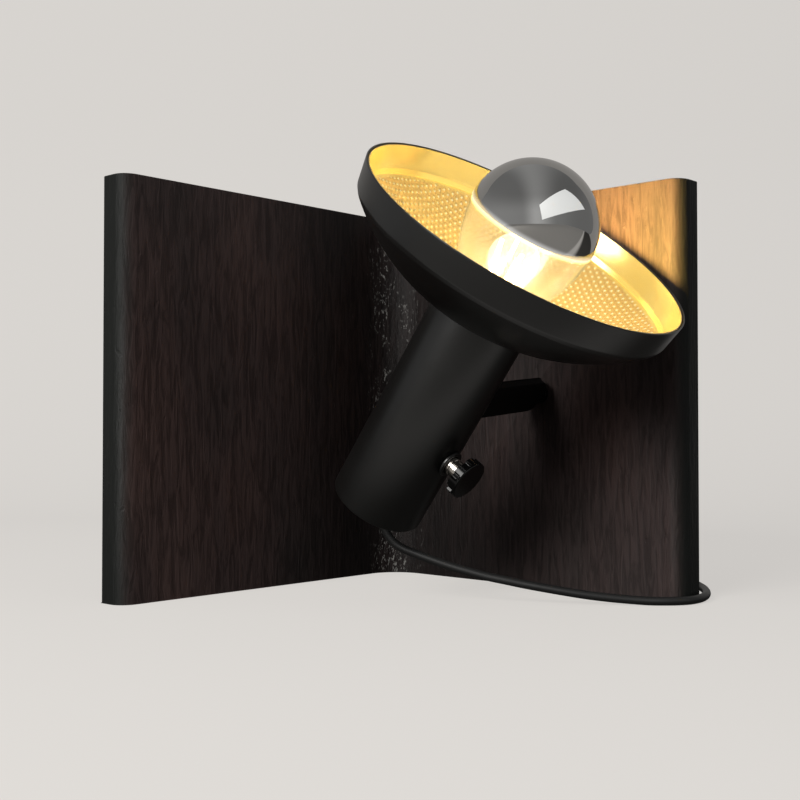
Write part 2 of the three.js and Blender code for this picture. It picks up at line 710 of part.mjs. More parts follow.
function dishOutline(inset) {
  const radius = shadeDishRadius - inset;
  const seat = shadeJunction + inset;
  const seatAngle = Math.asin((seat - dishCentre.y) / radius);
  const points = [[shadeHole, seat]];
  for (let i = 0; i <= arcSteps; i += 1) {
    const angle = THREE.MathUtils.lerp(seatAngle, shoulderAngle, i / arcSteps);
    points.push([dishCentre.x + radius * Math.cos(angle), dishCentre.y + radius * Math.sin(angle)]);
  }
  points.push([shadeBandFoot - inset, shadeBandFootHeight]);
  return points;
}

const shadeOutline = [
  ...dishOutline(0), [shadeRim, shadeRimHeight], [shadeRim - shadeWall, shadeRimHeight],
  ...dishOutline(shadeWall).reverse(), [shadeHole, shadeJunction],
];
addPiece(head, "shade_shell", turned(shadeOutline, fineSides), blackPaint);

// Liner: a smooth band at the mouth that steps in to the dish
const linerInset = shadeWall + gap;
const linerFace = linerInset + linerWall;
const linerTop = shadeRimHeight - gap;
const bandSlope = (shadeRim - shadeBandFoot) / (shadeRimHeight - shadeBandFootHeight);
const bandAt = (height) => shadeRim - bandSlope * (shadeRimHeight - height);
const linerOutline = [
  ...dishOutline(linerInset).slice(0, -1),
  [bandAt(shadeBandFootHeight) - linerInset - linerStep, shadeBandFootHeight],
  [bandAt(linerStepHeight) - linerInset - linerStep, linerStepHeight - linerStep],
  [bandAt(linerStepHeight) - linerInset, linerStepHeight],
  [bandAt(linerTop) - linerInset, linerTop], [bandAt(linerTop) - linerFace, linerTop],
  [bandAt(linerStepHeight) - linerFace, linerStepHeight + linerStep / 2],
  [bandAt(linerStepHeight) - linerFace - linerStep, linerStepHeight - linerStep / 2],
  [bandAt(shadeBandFootHeight) - linerFace - linerStep, shadeBandFootHeight],
  ...dishOutline(linerFace).slice(0, -1).reverse(), [shadeHole, shadeJunction + linerInset],
];
addPiece(head, "reflector_liner", turned(linerOutline, fineSides), gold);
const shadeRingFoot = shadeJunction + linerFace + gap;
const shadeRingTop = shadeRingFoot + shadeRingHeight;
const shadeRing = ring(holderRadius + gap, shadeRingRadius, shadeRingFoot, shadeRingTop, roundSides);
addPiece(head, "shade_ring", shadeRing, blackPlastic);

// Bulb glass: a spherical crown on a drawn-out neck, open at the foot
const shoulderCurve = new THREE.CubicBezierCurve(
  new THREE.Vector2(bulbWaistRadius, bulbWaist),
  new THREE.Vector2(bulbFlareRadius, bulbFlare),
  new THREE.Vector2(bulbRadius, bulbShoulder),
  new THREE.Vector2(bulbRadius, bulbCentre),
);

function crown(radius) {
  return Array.from({ length: arcSteps + 1 }, (_, i) => {
    const angle = (Math.PI * i) / (2 * arcSteps);
    return [i === arcSteps ? 0 : radius * Math.cos(angle), bulbCentre + radius * Math.sin(angle)];
  });
}

function bulbOutline(inset) {
  const neck = [[bulbNeckRadius - inset, bulbNeckFoot], [bulbNeckRadius - inset, bulbNeckTop]];
  const shoulder = shoulderCurve.getPoints(arcSteps).slice(0, -1).map((p) => [p.x - inset, p.y]);
  return [...neck, ...shoulder, ...crown(bulbRadius - inset)];
}

const glassOutline = [...bulbOutline(0), ...bulbOutline(bulbGlassWall).reverse(), bulbOutline(0)[0]];
addPiece(head, "bulb_glass", turned(glassOutline, roundSides), clearGlass);
const mirrorInner = bulbRadius + mirrorGap;
const mirrorOutline = [...crown(mirrorInner + mirrorWall), ...crown(mirrorInner).reverse()];
addPiece(head, "bulb_mirror_cap", turned([...mirrorOutline, mirrorOutline[0]], roundSides), mirror);

// Bulb cap: a threaded sleeve, an insulator and a contact
const capTurns = Math.floor((bulbCapTop - bulbCapFoot) / bulbThreadPitch);
const threadPoints = Array.from({ length: 2 * capTurns + 1 }, (_, i) => [
  bulbCapRadius - (i % 2 ? 0 : bulbThread),
  bulbCapFoot + (i * bulbThreadPitch) / 2,
]);
const sleeveInner = bulbNeckRadius + gap;
const bulbCapOutline = [
  ...threadPoints, [bulbCapRadius - bulbThread, bulbCapTop], [sleeveInner, bulbCapTop],
  [sleeveInner, bulbNeckFoot - gap], [sleeveInner - bulbCapWall, bulbNeckFoot - gap],
  [sleeveInner - bulbCapWall, bulbCapFoot], threadPoints[0],
];
addPiece(head, "bulb_cap", turned(bulbCapOutline, roundSides), nickel);
const insulatorTop = bulbCapFoot - gap;
const insulatorOutline = [
  [0, insulatorTop - insulatorHeight], [insulatorTipRadius, insulatorTop - insulatorHeight],
  [insulatorRadius, insulatorTop], [0, insulatorTop],
];
addPiece(head, "bulb_insulator", turned(insulatorOutline, smallSides), blackPlastic);
const bulbContact = disc(bulbContactRadius, bulbFoot, bulbFoot + bulbContactHeight, smallSides);
addPiece(head, "bulb_contact", bulbContact, brass);

// Stem with its filaments
const stemFoot = bulbNeckFoot + gap;
const stemOutline = [
  [0, stemFoot], [stemFootRadius, stemFoot], [stemFootRadius, stemFoot + gap],
  [stemRadius, stemFoot + stemFlare], [stemRadius, stemTop - stemButtonRadius],
  [stemButtonRadius, stemTop - stemButtonRadius / 2], [stemRadius / 2, stemTop], [0, stemTop],
];
addPiece(head, "bulb_stem", turned(stemOutline, smallSides), clearGlass);
const collarBase = ring(stemRadius + gap, collarRadius, collarFoot, collarFoot + collarHeight, smallSides);
const filamentStart = (stemRadius + gap + collarRadius) / 2 + filamentRadius / 2;
const filaments = Array.from({ length: filamentCount }, (_, i) => {
  const foot = new THREE.Vector3(filamentStart, 0, collarFoot + collarHeight / 2);
  const top = new THREE.Vector3(filamentTopReach, 0, foot.z + filamentRise);
  const turn = (2 * Math.PI * (i + 1 / 2)) / filamentCount;
  return sweep([foot, top], [filamentRadius, filamentRadius], wireSides).rotateZ(turn);
});
addPiece(head, "bulb_filaments", join(collarBase, ...filaments), glowing);

// Cord: down from the relief to the table, then round the toe of the right flange
const cordDrop = [
  [-10.45, -119, 37.6], [-9.1, -118.5, 34], [-7, -118.4, 30.3], [-4.1, -118.6, 26.9], [0.2, -119.4, 24.4],
  [5.5, -120.4, 22.3], [13.9, -122, 19.3], [22.2, -123.6, 16.6], [30.5, -125.2, 14.3], [38.8, -126.8, 12.2],
  [47, -128.4, 10.6], [55.2, -129.9, 9], [63.4, -131.5, 7.6], [73.3, -133.2, 6], [84.1, -134.6, 4.4],
  [94.8, -135.7, 3.2],
];
const cordFloor = [
  [95.1, -135.73, 3.2], [104.8, -136.8, 2.4], [112, -137.9, 2], [119, -138.9, 2], [126, -138.5, 2],
  [132.2, -136.1, 2], [137.3, -131.4, 2], [141.6, -125, 2], [145.1, -117, 2], [147.9, -107, 2],
  [149.8, -95, 2], [150.4, -80, 2], [148.7, -62, 2], [144.5, -46, 2.2], [140.8, -35, 2.7],
  [138.9, -26.5, 3.05], [138.6, -19.8, 3.1],
];
addPiece(lamp, "cord_drop", tubeAlong(cordDrop, cordRadius, cordSides, cordDrop.length), cordRubber);
addPiece(lamp, "cord_floor", tubeAlong(cordFloor, cordRadius, cordSides, 2 * cordFloor.length), cordRubber);

// Coil: the lower layer spirals in, climbs in the half turn where it reverses, and the upper layer
// spirals out again
const coilFoot = cordRadius + tieWall + gap;
const coilOuter = coilInner + coilTurnsDown * coilPitch;
function coilPoint(turn) {
  const radius = coilInner + coilPitch * Math.abs(turn);
  const climb = THREE.MathUtils.clamp(2 * turn + 1 / 2, 0, 1);
  const angle = 2 * Math.PI * turn;
  return new THREE.Vector3(radius * Math.cos(angle), radius * Math.sin(angle), coilFoot + coilLayer * climb);
}
const coilSteps = (coilTurnsDown + coilTurnsUp) * coilLoopSteps;
const coilAt = (finer) => (_, i) => coilPoint(i / (finer * coilLoopSteps) - coilTurnsDown);
const coilPoints = Array.from({ length: coilSteps + 1 }, coilAt(1));
const coilEnd = coilPoints[coilSteps];
const straight = 2 * cordRadius;
const intoCoil = new THREE.Vector3(coilOuter, -straight, coilFoot);
const outOfCoil = new THREE.Vector3(-straight, coilEnd.y, coilEnd.z);
const beforePlug = new THREE.Vector3(gap - plugTailRun, coilEnd.y, plugAxis);
const beyondCoil = new THREE.Vector3((outOfCoil.x + beforePlug.x) / 2, coilEnd.y, (coilEnd.z + plugAxis) / 2);
const coilRun = [intoCoil, ...coilPoints, outOfCoil, beyondCoil, beforePlug];
const coilBase = new THREE.Vector3(coilCentre.x, coilCentre.y, 0);
const coil = sweep(coilRun, coilRun.map(() => cordRadius), coilSides);
addPiece(lamp, "cord_coil", coil.translate(coilBase.x, coilBase.y, 0), cordRubber);

function leastGap(points, apart) {
  let least = Infinity;
  points.forEach((point, i) => {
    for (let k = i + apart; k < points.length; k += 1) least = Math.min(least, point.distanceTo(points[k]));
  });
  return least - 2 * cordRadius;
}
const lengthOf = (points) => points.slice(1).reduce((sum, point, i) => sum + point.distanceTo(points[i]), 0);
const asVectors = (points) => points.map((p) => new THREE.Vector3(...p));
const finePoints = Array.from({ length: 4 * coilSteps + 1 }, coilAt(4));
console.log("coil's least gap to itself", leastGap(finePoints, 2 * coilLoopSteps).toFixed(2), "mm");
const cordRuns = [lengthOf(asVectors(cordDrop)), lengthOf(asVectors(cordFloor)), lengthOf(coilRun)];
console.log("cord runs", cordRuns.map((run) => run.toFixed(0)).join(" + "), "mm");

// Tie round the bundle, opposite the place where the cord enters the coil
const tieInner = coilInner + coilPitch / 2 - cordRadius - 2 * tieRoom;
const tieOuter = coilInner + coilPitch * (coilTurnsDown - 1 / 2) + cordRadius + tieRoom;
const tieInside = [tieWall, coilFoot + coilLayer + cordRadius + gap];
const tieReach = [-tieOuter - tieWall, tieWall - tieInner];
const tie = cut(
  block(tieReach, [-tieWidth / 2, tieWidth / 2], [0, tieInside[1] + tieWall]),
  block([-tieOuter, -tieInner], [-tieWidth / 2 - overrun, tieWidth / 2 + overrun], tieInside),
);
addPiece(lamp, "cord_tie", tie.translate(coilBase.x, coilBase.y, 0), blackPlastic);

// Plug: a tapered relief, a flat body and two pins, in line with the cord's end
const plugFrame = new THREE.Group();
plugFrame.position.set(coilBase.x - plugTailRun, coilBase.y + coilEnd.y, plugAxis);
plugFrame.rotation.z = Math.PI;
lamp.add(plugFrame);
const plugReliefOutline = [
  [0, 0], [reliefTipRadius, 0], [plugReliefRadius, plugReliefLength], [0, plugReliefLength],
];
addPiece(plugFrame, "plug_relief", alongX(turned(plugReliefOutline, smallSides)), cordRubber);
const plugFoot = plugReliefLength + gap;
const plugFront = plugFoot + plugLength;
const plugMiddle = plugFoot + plugLength / 2;
const plugCorners = [
  [plugFoot, -plugTailWidth / 2], [plugMiddle, -plugWidth / 2], [plugFront, -plugWidth / 2],
  [plugFront, plugWidth / 2], [plugMiddle, plugWidth / 2], [plugFoot, plugTailWidth / 2],
];
const plugOutline = new THREE.Shape(plugCorners.map(([x, y]) => new THREE.Vector2(x, y)));
const plugBody = new THREE.ExtrudeGeometry(plugOutline, { depth: plugThickness, bevelEnabled: false });
addPiece(plugFrame, "plug_body", plugBody.translate(0, 0, -plugThickness / 2), blackPlastic);
[-1, 1].forEach((sign, i) => {
  const pin = alongX(disc(pinRadius, plugFront + gap, plugFront + gap + pinLength, smallSides));
  addPiece(plugFrame, `plug_pin_${i + 1}`, pin.translate(0, (sign * pinSpacing) / 2, 0), nickel);
});

// The origin is under the middle of the lamp's own box, without its cord
const cordNames = [
  "cord_drop", "cord_floor", "cord_coil", "cord_tie", "plug_relief", "plug_body", "plug_pin_1",
  "plug_pin_2",
];
lamp.updateMatrixWorld(true);
const ownBox = new THREE.Box3();
lamp.traverse((piece) => {
  if (piece.isMesh && !cordNames.includes(piece.name)) ownBox.expandByObject(piece, true);
});
const middle = ownBox.getCenter(new THREE.Vector3());
lamp.position.set(-middle.x, -middle.y, 0);
console.log("beam corner at", lamp.position.toArray().map((v) => v.toFixed(3)).join(", "));

export default lamp;
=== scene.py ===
# %% [markdown]
# A table lamp on a piece of steel angle, dressed in Blender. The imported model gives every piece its
# size and place, and this file gives each one the surface that you see: rolled steel with its mill
# scale, matte powder coat, a dimpled gold dish, clear glass with a silvered crown, and a black cord.
# Nothing that the frame holds is moved. Where a faceted solid shows, a smooth mesh of the same size
# replaces it.

# %% Load the frame
import math

import bmesh
import bpy
from mathutils import Matrix, Vector


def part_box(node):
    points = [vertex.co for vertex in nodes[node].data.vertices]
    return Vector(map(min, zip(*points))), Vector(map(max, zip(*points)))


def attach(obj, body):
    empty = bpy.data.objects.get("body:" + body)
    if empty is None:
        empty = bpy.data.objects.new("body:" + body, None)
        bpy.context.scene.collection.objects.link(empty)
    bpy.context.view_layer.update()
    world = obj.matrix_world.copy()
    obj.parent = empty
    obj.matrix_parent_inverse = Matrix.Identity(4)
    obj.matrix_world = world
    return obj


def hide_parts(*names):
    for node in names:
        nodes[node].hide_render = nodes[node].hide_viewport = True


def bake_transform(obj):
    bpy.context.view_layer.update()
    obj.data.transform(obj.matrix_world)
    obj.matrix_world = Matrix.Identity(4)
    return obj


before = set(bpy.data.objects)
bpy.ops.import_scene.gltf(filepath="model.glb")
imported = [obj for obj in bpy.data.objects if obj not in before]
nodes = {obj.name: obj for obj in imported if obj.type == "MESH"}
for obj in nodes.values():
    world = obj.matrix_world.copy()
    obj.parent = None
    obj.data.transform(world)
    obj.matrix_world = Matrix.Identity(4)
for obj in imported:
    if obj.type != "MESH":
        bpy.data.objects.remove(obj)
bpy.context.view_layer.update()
scene = bpy.context.scene
scene.view_settings.view_transform = "Standard"

# %% [markdown]
# Two frames carry the whole lamp. The first has its origin at the inside corner of the steel angle,
# where the flanges meet. The second belongs to the head: its Z runs up the tube, its Y points at the
# flange, and its origin is where the arm meets the tube's axis. All sizes below are in millimetres,
# and a matrix takes them to their place in metres. Pieces that touch keep a gap of 0.3 mm.

# %% The two frames
MM = 0.001
WALL, GAP = 16, 0.3
HINGE_ALONG, HINGE_HEIGHT, REACH = 103, 99, 96.33
TILT, LEAN, SKEW = (math.radians(angle) for angle in (37.78, 1.3, 6.61))

beam_low, beam_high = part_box("beam_angle")
corner = Vector(((beam_low.x + beam_high.x) / 2, beam_high.y - WALL * MM * math.sqrt(2), 0))
LAMP = Matrix.Translation(corner) @ Matrix.Scale(MM, 4)
FLANGE = LAMP @ Matrix.Rotation(-math.pi / 4, 4, "Z")
HINGE = FLANGE @ Matrix.Translation((HINGE_ALONG, 0, HINGE_HEIGHT))
turn = Matrix.Rotation(TILT, 4, "Y") @ Matrix.Rotation(LEAN, 4, "X") @ Matrix.Rotation(SKEW, 4, "Z")
ARM = HINGE @ turn
HEAD = ARM @ Matrix.Translation((0, -REACH, 0))
print("inside corner at", [round(1000 * v, 2) for v in corner])

# %% [markdown]
# The photograph was taken close up and from low down, with a slightly long lens. The place, the turn
# and the focal length were worked out from the edges of the steel angle, which has a known size, so
# that the frame lines up with the picture to about a pixel.

# %% Camera
CAMERA_AT, CAMERA_UP, CAMERA_TURN = (-26.43, -682.78, 82.26), 0.0222, -0.0436
camera_data = bpy.data.cameras.new("camera")
camera_data.lens = 53.66
camera_data.sensor_width = 36
camera_data.clip_start = 0.01
camera = bpy.data.objects.new("camera", camera_data)
camera.location = LAMP @ Vector(CAMERA_AT)
camera.rotation_euler = (math.pi / 2 + CAMERA_UP, 0, CAMERA_TURN)
scene.collection.objects.link(camera)
scene.camera = camera
print("camera to the inside corner, m:", round((camera.location - corner).length, 3))

# %% [markdown]
# A few mesh helpers do most of the modelling. A lathe turns a half outline round Z, and a sweep runs
# a round section along a path. Real parts never have knife edges, so an outline's corners can each be
# given a small radius before it is turned. All of them write vertices and faces directly, which is
# exact and quick, and a placing matrix brings the result into the lamp.


# %% Outlines and shapes
def rounded(corners, steps=4, closed=False):
    """Corners are (x, y) or (x, y, radius). Each radius becomes an arc that touches both sides."""
    out = []
    count = len(corners)
    for i, point in enumerate(corners):
        p = Vector(point[:2])
        radius = point[2] if len(point) > 2 else 0
        if not radius or (not closed and i in (0, count - 1)):
            out.append(tuple(p))
            continue
        before = Vector(corners[i - 1][:2]) - p
        after = Vector(corners[(i + 1) % count][:2]) - p
        half = before.angle(after) / 2
        reach = min(radius / math.tan(half), 0.49 * before.length, 0.49 * after.length)
        middle = (before.normalized() + after.normalized()).normalized()
        centre = p + middle * (reach / math.cos(half))
        arm = p + before.normalized() * reach - centre
        sweep_angle = math.pi - 2 * half
        if before.x * after.y - before.y * after.x > 0:
            sweep_angle = -sweep_angle
        for k in range(steps + 1):
            turned_arm = Matrix.Rotation(sweep_angle * k / steps, 2) @ arm
            out.append(tuple(centre + turned_arm))
    return out


def lathe(outline, sides=96, closed=False):
    """Vertices and faces of a (radius, height) outline turned round Z."""
    verts, rings = [], []
    for radius, height in outline:
        if radius < 1e-6:
            verts.append((0, 0, height))
            rings.append([len(verts) - 1] * sides)
            continue
        rings.append(list(range(len(verts), len(verts) + sides)))
        for k in range(sides):
            angle = 2 * math.pi * k / sides
            verts.append((radius * math.cos(angle), radius * math.sin(angle), height))
    pairs = list(zip(rings, rings[1:] + rings[:1])) if closed else list(zip(rings, rings[1:]))
    faces = []
    for low, high in pairs:
        for k in range(sides):
            n = (k + 1) % sides
            face = list(dict.fromkeys((low[k], low[n], high[n], high[k])))
            if len(face) > 2:
                faces.append(face)
    return verts, faces


def prism(outline, low, high):
    """An (x, y) outline drawn up from one height to another."""
    count = len(outline)
    verts = [(x, y, z) for z in (low, high) for x, y in outline]
    faces = [list(range(count)), list(range(count, 2 * count))]
    faces += [[k, (k + 1) % count, count + (k + 1) % count, count + k] for k in range(count)]
    return verts, faces


def sweep(path, radii, sides=16):
    """A round section along a path, closed at both ends by a fan."""
    verts, faces = [], []
    side = None
    for i, point in enumerate(path):
        along = (path[min(i + 1, len(path) - 1)] - path[max(i - 1, 0)]).normalized()
        if side is None:
            side = along.orthogonal()
        side = (side - along * side.dot(along)).normalized()
        up = along.cross(side)
        for k in range(sides):
            angle = 2 * math.pi * k / sides
            verts.append(point + (side * math.cos(angle) + up * math.sin(angle)) * radii[i])
    for i in range(len(path) - 1):
        for k in range(sides):
            a, b = i * sides + k, i * sides + (k + 1) % sides
            faces.append((a, b, b + sides, a + sides))
    last = (len(path) - 1) * sides
    verts += [path[0], path[-1]]
    for k in range(sides):
        n = (k + 1) % sides
        faces += [(len(verts) - 2, n, k), (len(verts) - 1, last + k, last + n)]
    return verts, faces


def rod(radius, low, high, sides=48):
    """A plain round rod, which serves to cut holes."""
    return lathe([(0, low), (radius, low), (radius, high), (0, high)], sides)


def moved(part, matrix):
    verts, faces = part
    return [matrix @ Vector(v) for v in verts], faces


# %% [markdown]
# The next helpers turn such lists into objects. An object gets outward normals and smooth shading with
# sharp edges, then a material, the body that it moves with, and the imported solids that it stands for.
# A hole is a real boolean cut that stays in the mesh, because the meshes are a result too.


# %% Objects
def smooth(mesh, sharp=30):
    """Smooth shading, but not over edges of more than this many degrees."""
    mesh.shade_smooth()
    mesh.set_sharp_from_angle(angle=math.radians(sharp))


def make_mesh(name, part, place, bevel=0, sharp=30):
    """An object from vertices and faces, placed, with outward normals, smooth but for its edges."""
    verts, faces = part
    bm = bmesh.new()
    made = [bm.verts.new(place @ Vector(v)) for v in verts]
    for face in faces:
        bm.faces.new([made[v] for v in face])
    bmesh.ops.remove_doubles(bm, verts=bm.verts, dist=1e-7)
    if bevel:
        folded = math.radians(50)
        edges = [e for e in bm.edges if len(e.link_faces) == 2 and e.calc_face_angle(0) > folded]
        bmesh.ops.bevel(bm, geom=edges, offset=bevel * MM, segments=3, affect="EDGES", profile=0.5)
    bmesh.ops.recalc_face_normals(bm, faces=bm.faces)
    mesh = bpy.data.meshes.new(name)
    bm.to_mesh(mesh)
    bm.free()
    smooth(mesh, sharp)
    obj = bpy.data.objects.new(name, mesh)
    scene.collection.objects.link(obj)
    return obj


def dress(obj, material, body, slot, *replaced):
    """A piece's material, its body and the solids that it replaces. The slot argument is not used."""
    obj.data.materials.clear()
    obj.data.materials.append(material)
    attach(obj, body)
    if replaced:
        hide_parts(*replaced)
    return obj


def refinish(material, *names, sharp=None):
    """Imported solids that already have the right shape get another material."""
    for name in names:
        nodes[name].data.materials.clear()
        nodes[name].data.materials.append(material)
        if sharp:
            smooth(nodes[name].data, sharp)


def drill(obj, part, place):
    """Cuts a hole with a boolean modifier and keeps the result."""
    cutter = make_mesh("cutter", part, place)
    modifier = obj.modifiers.new("hole", "BOOLEAN")
    modifier.object = cutter
    modifier.operation = "DIFFERENCE"
    modifier.solver = "EXACT"
    cut = bpy.data.meshes.new_from_object(obj.evaluated_get(bpy.context.evaluated_depsgraph_get()))
    obj.modifiers.clear()
    obj.data = cut
    bpy.data.objects.remove(cutter)
    return obj


# %% [markdown]
# A material is a graph of nodes. One helper adds a node with its settings and its inputs, where an
# input may be a plain value or another node's output. The rest are short names for the nodes that come
# back in every finish: sums, colour ramps, mixes, coordinates and noise.


# %% Node helpers
def add(tree, kind, inputs=None, **settings):
    node = tree.nodes.new("ShaderNode" + kind)
    for key, value in settings.items():
        setattr(node, key, value)
    for key, value in (inputs or {}).items():
        if isinstance(value, bpy.types.NodeSocket):
            tree.links.new(value, node.inputs[key])
        else:
            node.inputs[key].default_value = value
    return node


def math_node(tree, operation, first, *others):
    """Two or more values added, multiplied and so on, one after another."""
    for other in others:
        first = add(tree, "Math", {0: first, 1: other}, operation=operation).outputs[0]
    return first


def vector_node(tree, operation, a, b):
    return add(tree, "VectorMath", {0: a, 1: b}, operation=operation).outputs[0]


def ramp(tree, value, stops, smooth=False):
    """A colour ramp from (place, grey or colour) pairs."""
    node = add(tree, "ValToRGB", {"Fac": value})
    node.color_ramp.interpolation = "EASE" if smooth else "LINEAR"
    elements = node.color_ramp.elements
    while len(elements) < len(stops):
        elements.new(1)
    for element, (place, colour) in zip(elements, stops):
        element.position = place
        element.color = (*colour, 1) if isinstance(colour, tuple) else (colour, colour, colour, 1)
    return node.outputs["Color"]


def mix(tree, factor, a, b, blend="MIX"):
    return add(tree, "MixRGB", {"Fac": factor, "Color1": a, "Color2": b}, blend_type=blend).outputs["Color"]


def own_place(tree):
    """The piece's own coordinates, in metres."""
    return add(tree, "TexCoord").outputs["Object"]


def stretched(tree, scales):
    """The same coordinates, drawn out by three scales."""
    return add(tree, "Mapping", {"Vector": own_place(tree), "Scale": scales}).outputs["Vector"]


def noise(tree, vector, scale, detail=3.0, rough=0.55):
    inputs = {"Vector": vector, "Scale": scale, "Detail": detail, "Roughness": rough}
    return add(tree, "TexNoise", inputs).outputs["Fac"]


# %% [markdown]
# A group is a small graph with sockets of its own. The next helpers make one, place it in a material
# with that material's values, and start a material whose plain numbers sit on the shader's sockets.


# %% Groups and materials
def new_group(name, inputs, outputs):
    """A node group with float inputs given as {name: default}. Returns the tree, its input node and
    a function that fills its outputs."""
    tree = bpy.data.node_groups.new(name, "ShaderNodeTree")
    for key, value in inputs.items():
        socket = tree.interface.new_socket(name=key, in_out="INPUT", socket_type="NodeSocketFloat")
        socket.default_value = value
    for key, kind in outputs.items():
        tree.interface.new_socket(name=key, in_out="OUTPUT", socket_type="NodeSocket" + kind)
    source = tree.nodes.new("NodeGroupInput")
    sink = tree.nodes.new("NodeGroupOutput")

    def finish(**values):
        for key, value in values.items():
            tree.links.new(value, sink.inputs[key])

    return tree, source.outputs, finish


def use_group(tree, group, **values):
    node = tree.nodes.new("ShaderNodeGroup")
    node.node_tree = group
    for key, value in values.items():
        node.inputs[key.replace("_", " ")].default_value = value
    return node.outputs


def new_material(name, **sockets):
    material = bpy.data.materials.new(name)
    material.use_nodes = True
    tree = material.node_tree
    shader = tree.nodes["Principled BSDF"]
    for key, value in sockets.items():
        shader.inputs[key.replace("_", " ")].default_value = value
    return material, tree, shader


def bump(tree, shader, height, distance, strength=1.0):
    node = add(tree, "Bump", {"Height": height, "Distance": distance, "Strength": strength})
    tree.links.new(node.outputs["Normal"], shader.inputs["Normal"])


# %% [markdown]
# The first shared effect is grain. Rolled steel, drawn wire and spun sheet all carry fine lines along
# the way they were worked. One noise, stretched along Z by a length and packed tight across it, gives
# the lines, and a second, larger one makes them come and go.

# %% Grain group
grain_group, grain_in, grain_out = new_group(
    "grain", {"Fineness": 900.0, "Length": 40.0, "Patches": 25.0}, {"Height": "Float", "Patch": "Float"}
)
grain_axes = {0: grain_in["Fineness"], 1: grain_in["Fineness"], 2: grain_in["Length"]}
grain_scale = add(grain_group, "CombineXYZ", grain_axes).outputs[0]
grain_place = own_place(grain_group)
grain_fine = noise(grain_group, vector_node(grain_group, "MULTIPLY", grain_place, grain_scale), 1.0, 4.0, 0.6)
grain_fine.node.inputs["Distortion"].default_value = 0.9
patch_vector = vector_node(grain_group, "MULTIPLY", grain_place, (1, 1, 0.35))
patch_inputs = {"Vector": patch_vector, "Scale": grain_in["Patches"], "Detail": 4.0}
patch_noise = add(grain_group, "TexNoise", patch_inputs)
grain_out(Height=grain_fine, Patch=patch_noise.outputs["Fac"])
print("grain group's nodes:", len(grain_group.nodes))

# %% [markdown]
# The second shared effect is a coat: powder paint, moulded plastic and cable sheath are all slightly
# uneven. Fine noise gives the orange peel, and a slow one gives faint dull and shiny patches, which
# is what makes a black surface look like a real one instead of a hole in the picture.

# %% Coat group
coat_group, coat_in, coat_out = new_group(
    "coat", {"Peel": 1800.0, "Cloud": 30.0, "Dull": 0.1}, {"Height": "Float", "Dullness": "Float"}
)
coat_place = own_place(coat_group)
peel = add(coat_group, "TexNoise", {"Vector": coat_place, "Scale": coat_in["Peel"], "Detail": 2.0})
cloud = add(coat_group, "TexNoise", {"Vector": coat_place, "Scale": coat_in["Cloud"], "Detail": 3.0})
cloud_centred = math_node(coat_group, "SUBTRACT", cloud.outputs["Fac"], 0.5)
cloud_share = math_node(coat_group, "MULTIPLY", cloud_centred, coat_in["Dull"])
coat_out(Height=peel.outputs["Fac"], Dullness=cloud_share)
print("coat group's nodes:", len(coat_group.nodes))

# %% [markdown]
# Two functions turn the groups into finishes. A coated one is paint, plastic or glaze, and a drawn one
# is bare metal. Black surfaces are told apart by what they reflect, so the blacks differ more in gloss
# than in colour: the shade and tube have a satin powder coat, the knob is glossy, and the arm is duller
# and a little darker, that darker colour being painted shade for the shadow that the shade casts on it.


# %% Finishes
def grey(share):
    return (share, share, share)


def coated(name, colour, roughness, peel_size, depth, dull=0.25, **sockets):
    """A painted or moulded finish: even colour, slightly uneven gloss, a fine skin."""
    material, tree, shader = new_material(name, Roughness=roughness, **sockets)
    coat = use_group(tree, coat_group, Peel=peel_size, Dull=dull)
    rough = math_node(tree, "ADD", coat["Dullness"], roughness)
    tree.links.new(rough, shader.inputs["Roughness"])
    darker = tuple(0.8 * c for c in colour)
    shade = math_node(tree, "ADD", coat["Dullness"], 0.5)
    tree.links.new(mix(tree, shade, (*darker, 1), (*colour, 1)), shader.inputs["Base Color"])
    bump(tree, shader, coat["Height"], depth)
    return material


def drawn(name, colour, roughness, fineness=2500.0, depth=0.00002):
    """A bare metal with fine lines: plated or turned."""
    material, tree, shader = new_material(name, Metallic=1.0, Roughness=roughness)
    grain = use_group(tree, grain_group, Fineness=fineness, Length=fineness, Patches=60.0)
    darker = tuple(0.82 * c for c in colour)
    tree.links.new(mix(tree, grain["Patch"], (*darker, 1), (*colour, 1)), shader.inputs["Base Color"])
    rough = math_node(tree, "MULTIPLY_ADD", grain["Patch"], 0.1)
    rough.node.inputs[2].default_value = roughness - 0.05
    tree.links.new(rough, shader.inputs["Roughness"])
    bump(tree, shader, grain["Height"], depth)
    return material


PAINT_BLACK = (0.0045, 0.0044, 0.0041)
paint = coated("black_powder_coat", PAINT_BLACK, 0.34, 2600.0, 0.00003, 0.2, Specular_IOR_Level=0.55)
# painted shade: darker than the tube's paint, for the shadow that the shade casts on the arm
shaded_arm_paint = coated("black_arm_paint_shaded", grey(0.003), 0.5, 2600.0, 0.00002, 0.1, Specular_IOR_Level=0.2)
plastic = coated("moulded_black", grey(0.008), 0.3, 3500.0, 0.00001, 0.15)
knob_gloss = coated("knob_gloss_black", grey(0.002), 0.14, 3500.0, 0.000006, 0.06, Specular_IOR_Level=0.22)
sheath = coated("cable_sheath", grey(0.014), 0.45, 2200.0, 0.00002, 0.3)
white_glaze = coated("white_ceramic", (0.72, 0.69, 0.62), 0.3, 1500.0, 0.00001)
natural_nylon = coated("natural_nylon", (0.62, 0.59, 0.52), 0.45, 2500.0, 0.00001)
brown_sleeve = coated("brown_sleeve", (0.16, 0.05, 0.025), 0.5, 2500.0, 0.00001)
nickel = drawn("nickel_plate", (0.66, 0.62, 0.56), 0.18)
zinc = drawn("zinc_plate", (0.52, 0.53, 0.54), 0.38)
brass = drawn("plain_brass", (0.62, 0.43, 0.17), 0.3)

coats = (paint, shaded_arm_paint, plastic, knob_gloss, sheath, white_glaze, natural_nylon, brown_sleeve)
print("coated:", ", ".join(material.name for material in coats))
print("bare metal:", ", ".join(material.name for material in (nickel, zinc, brass)))
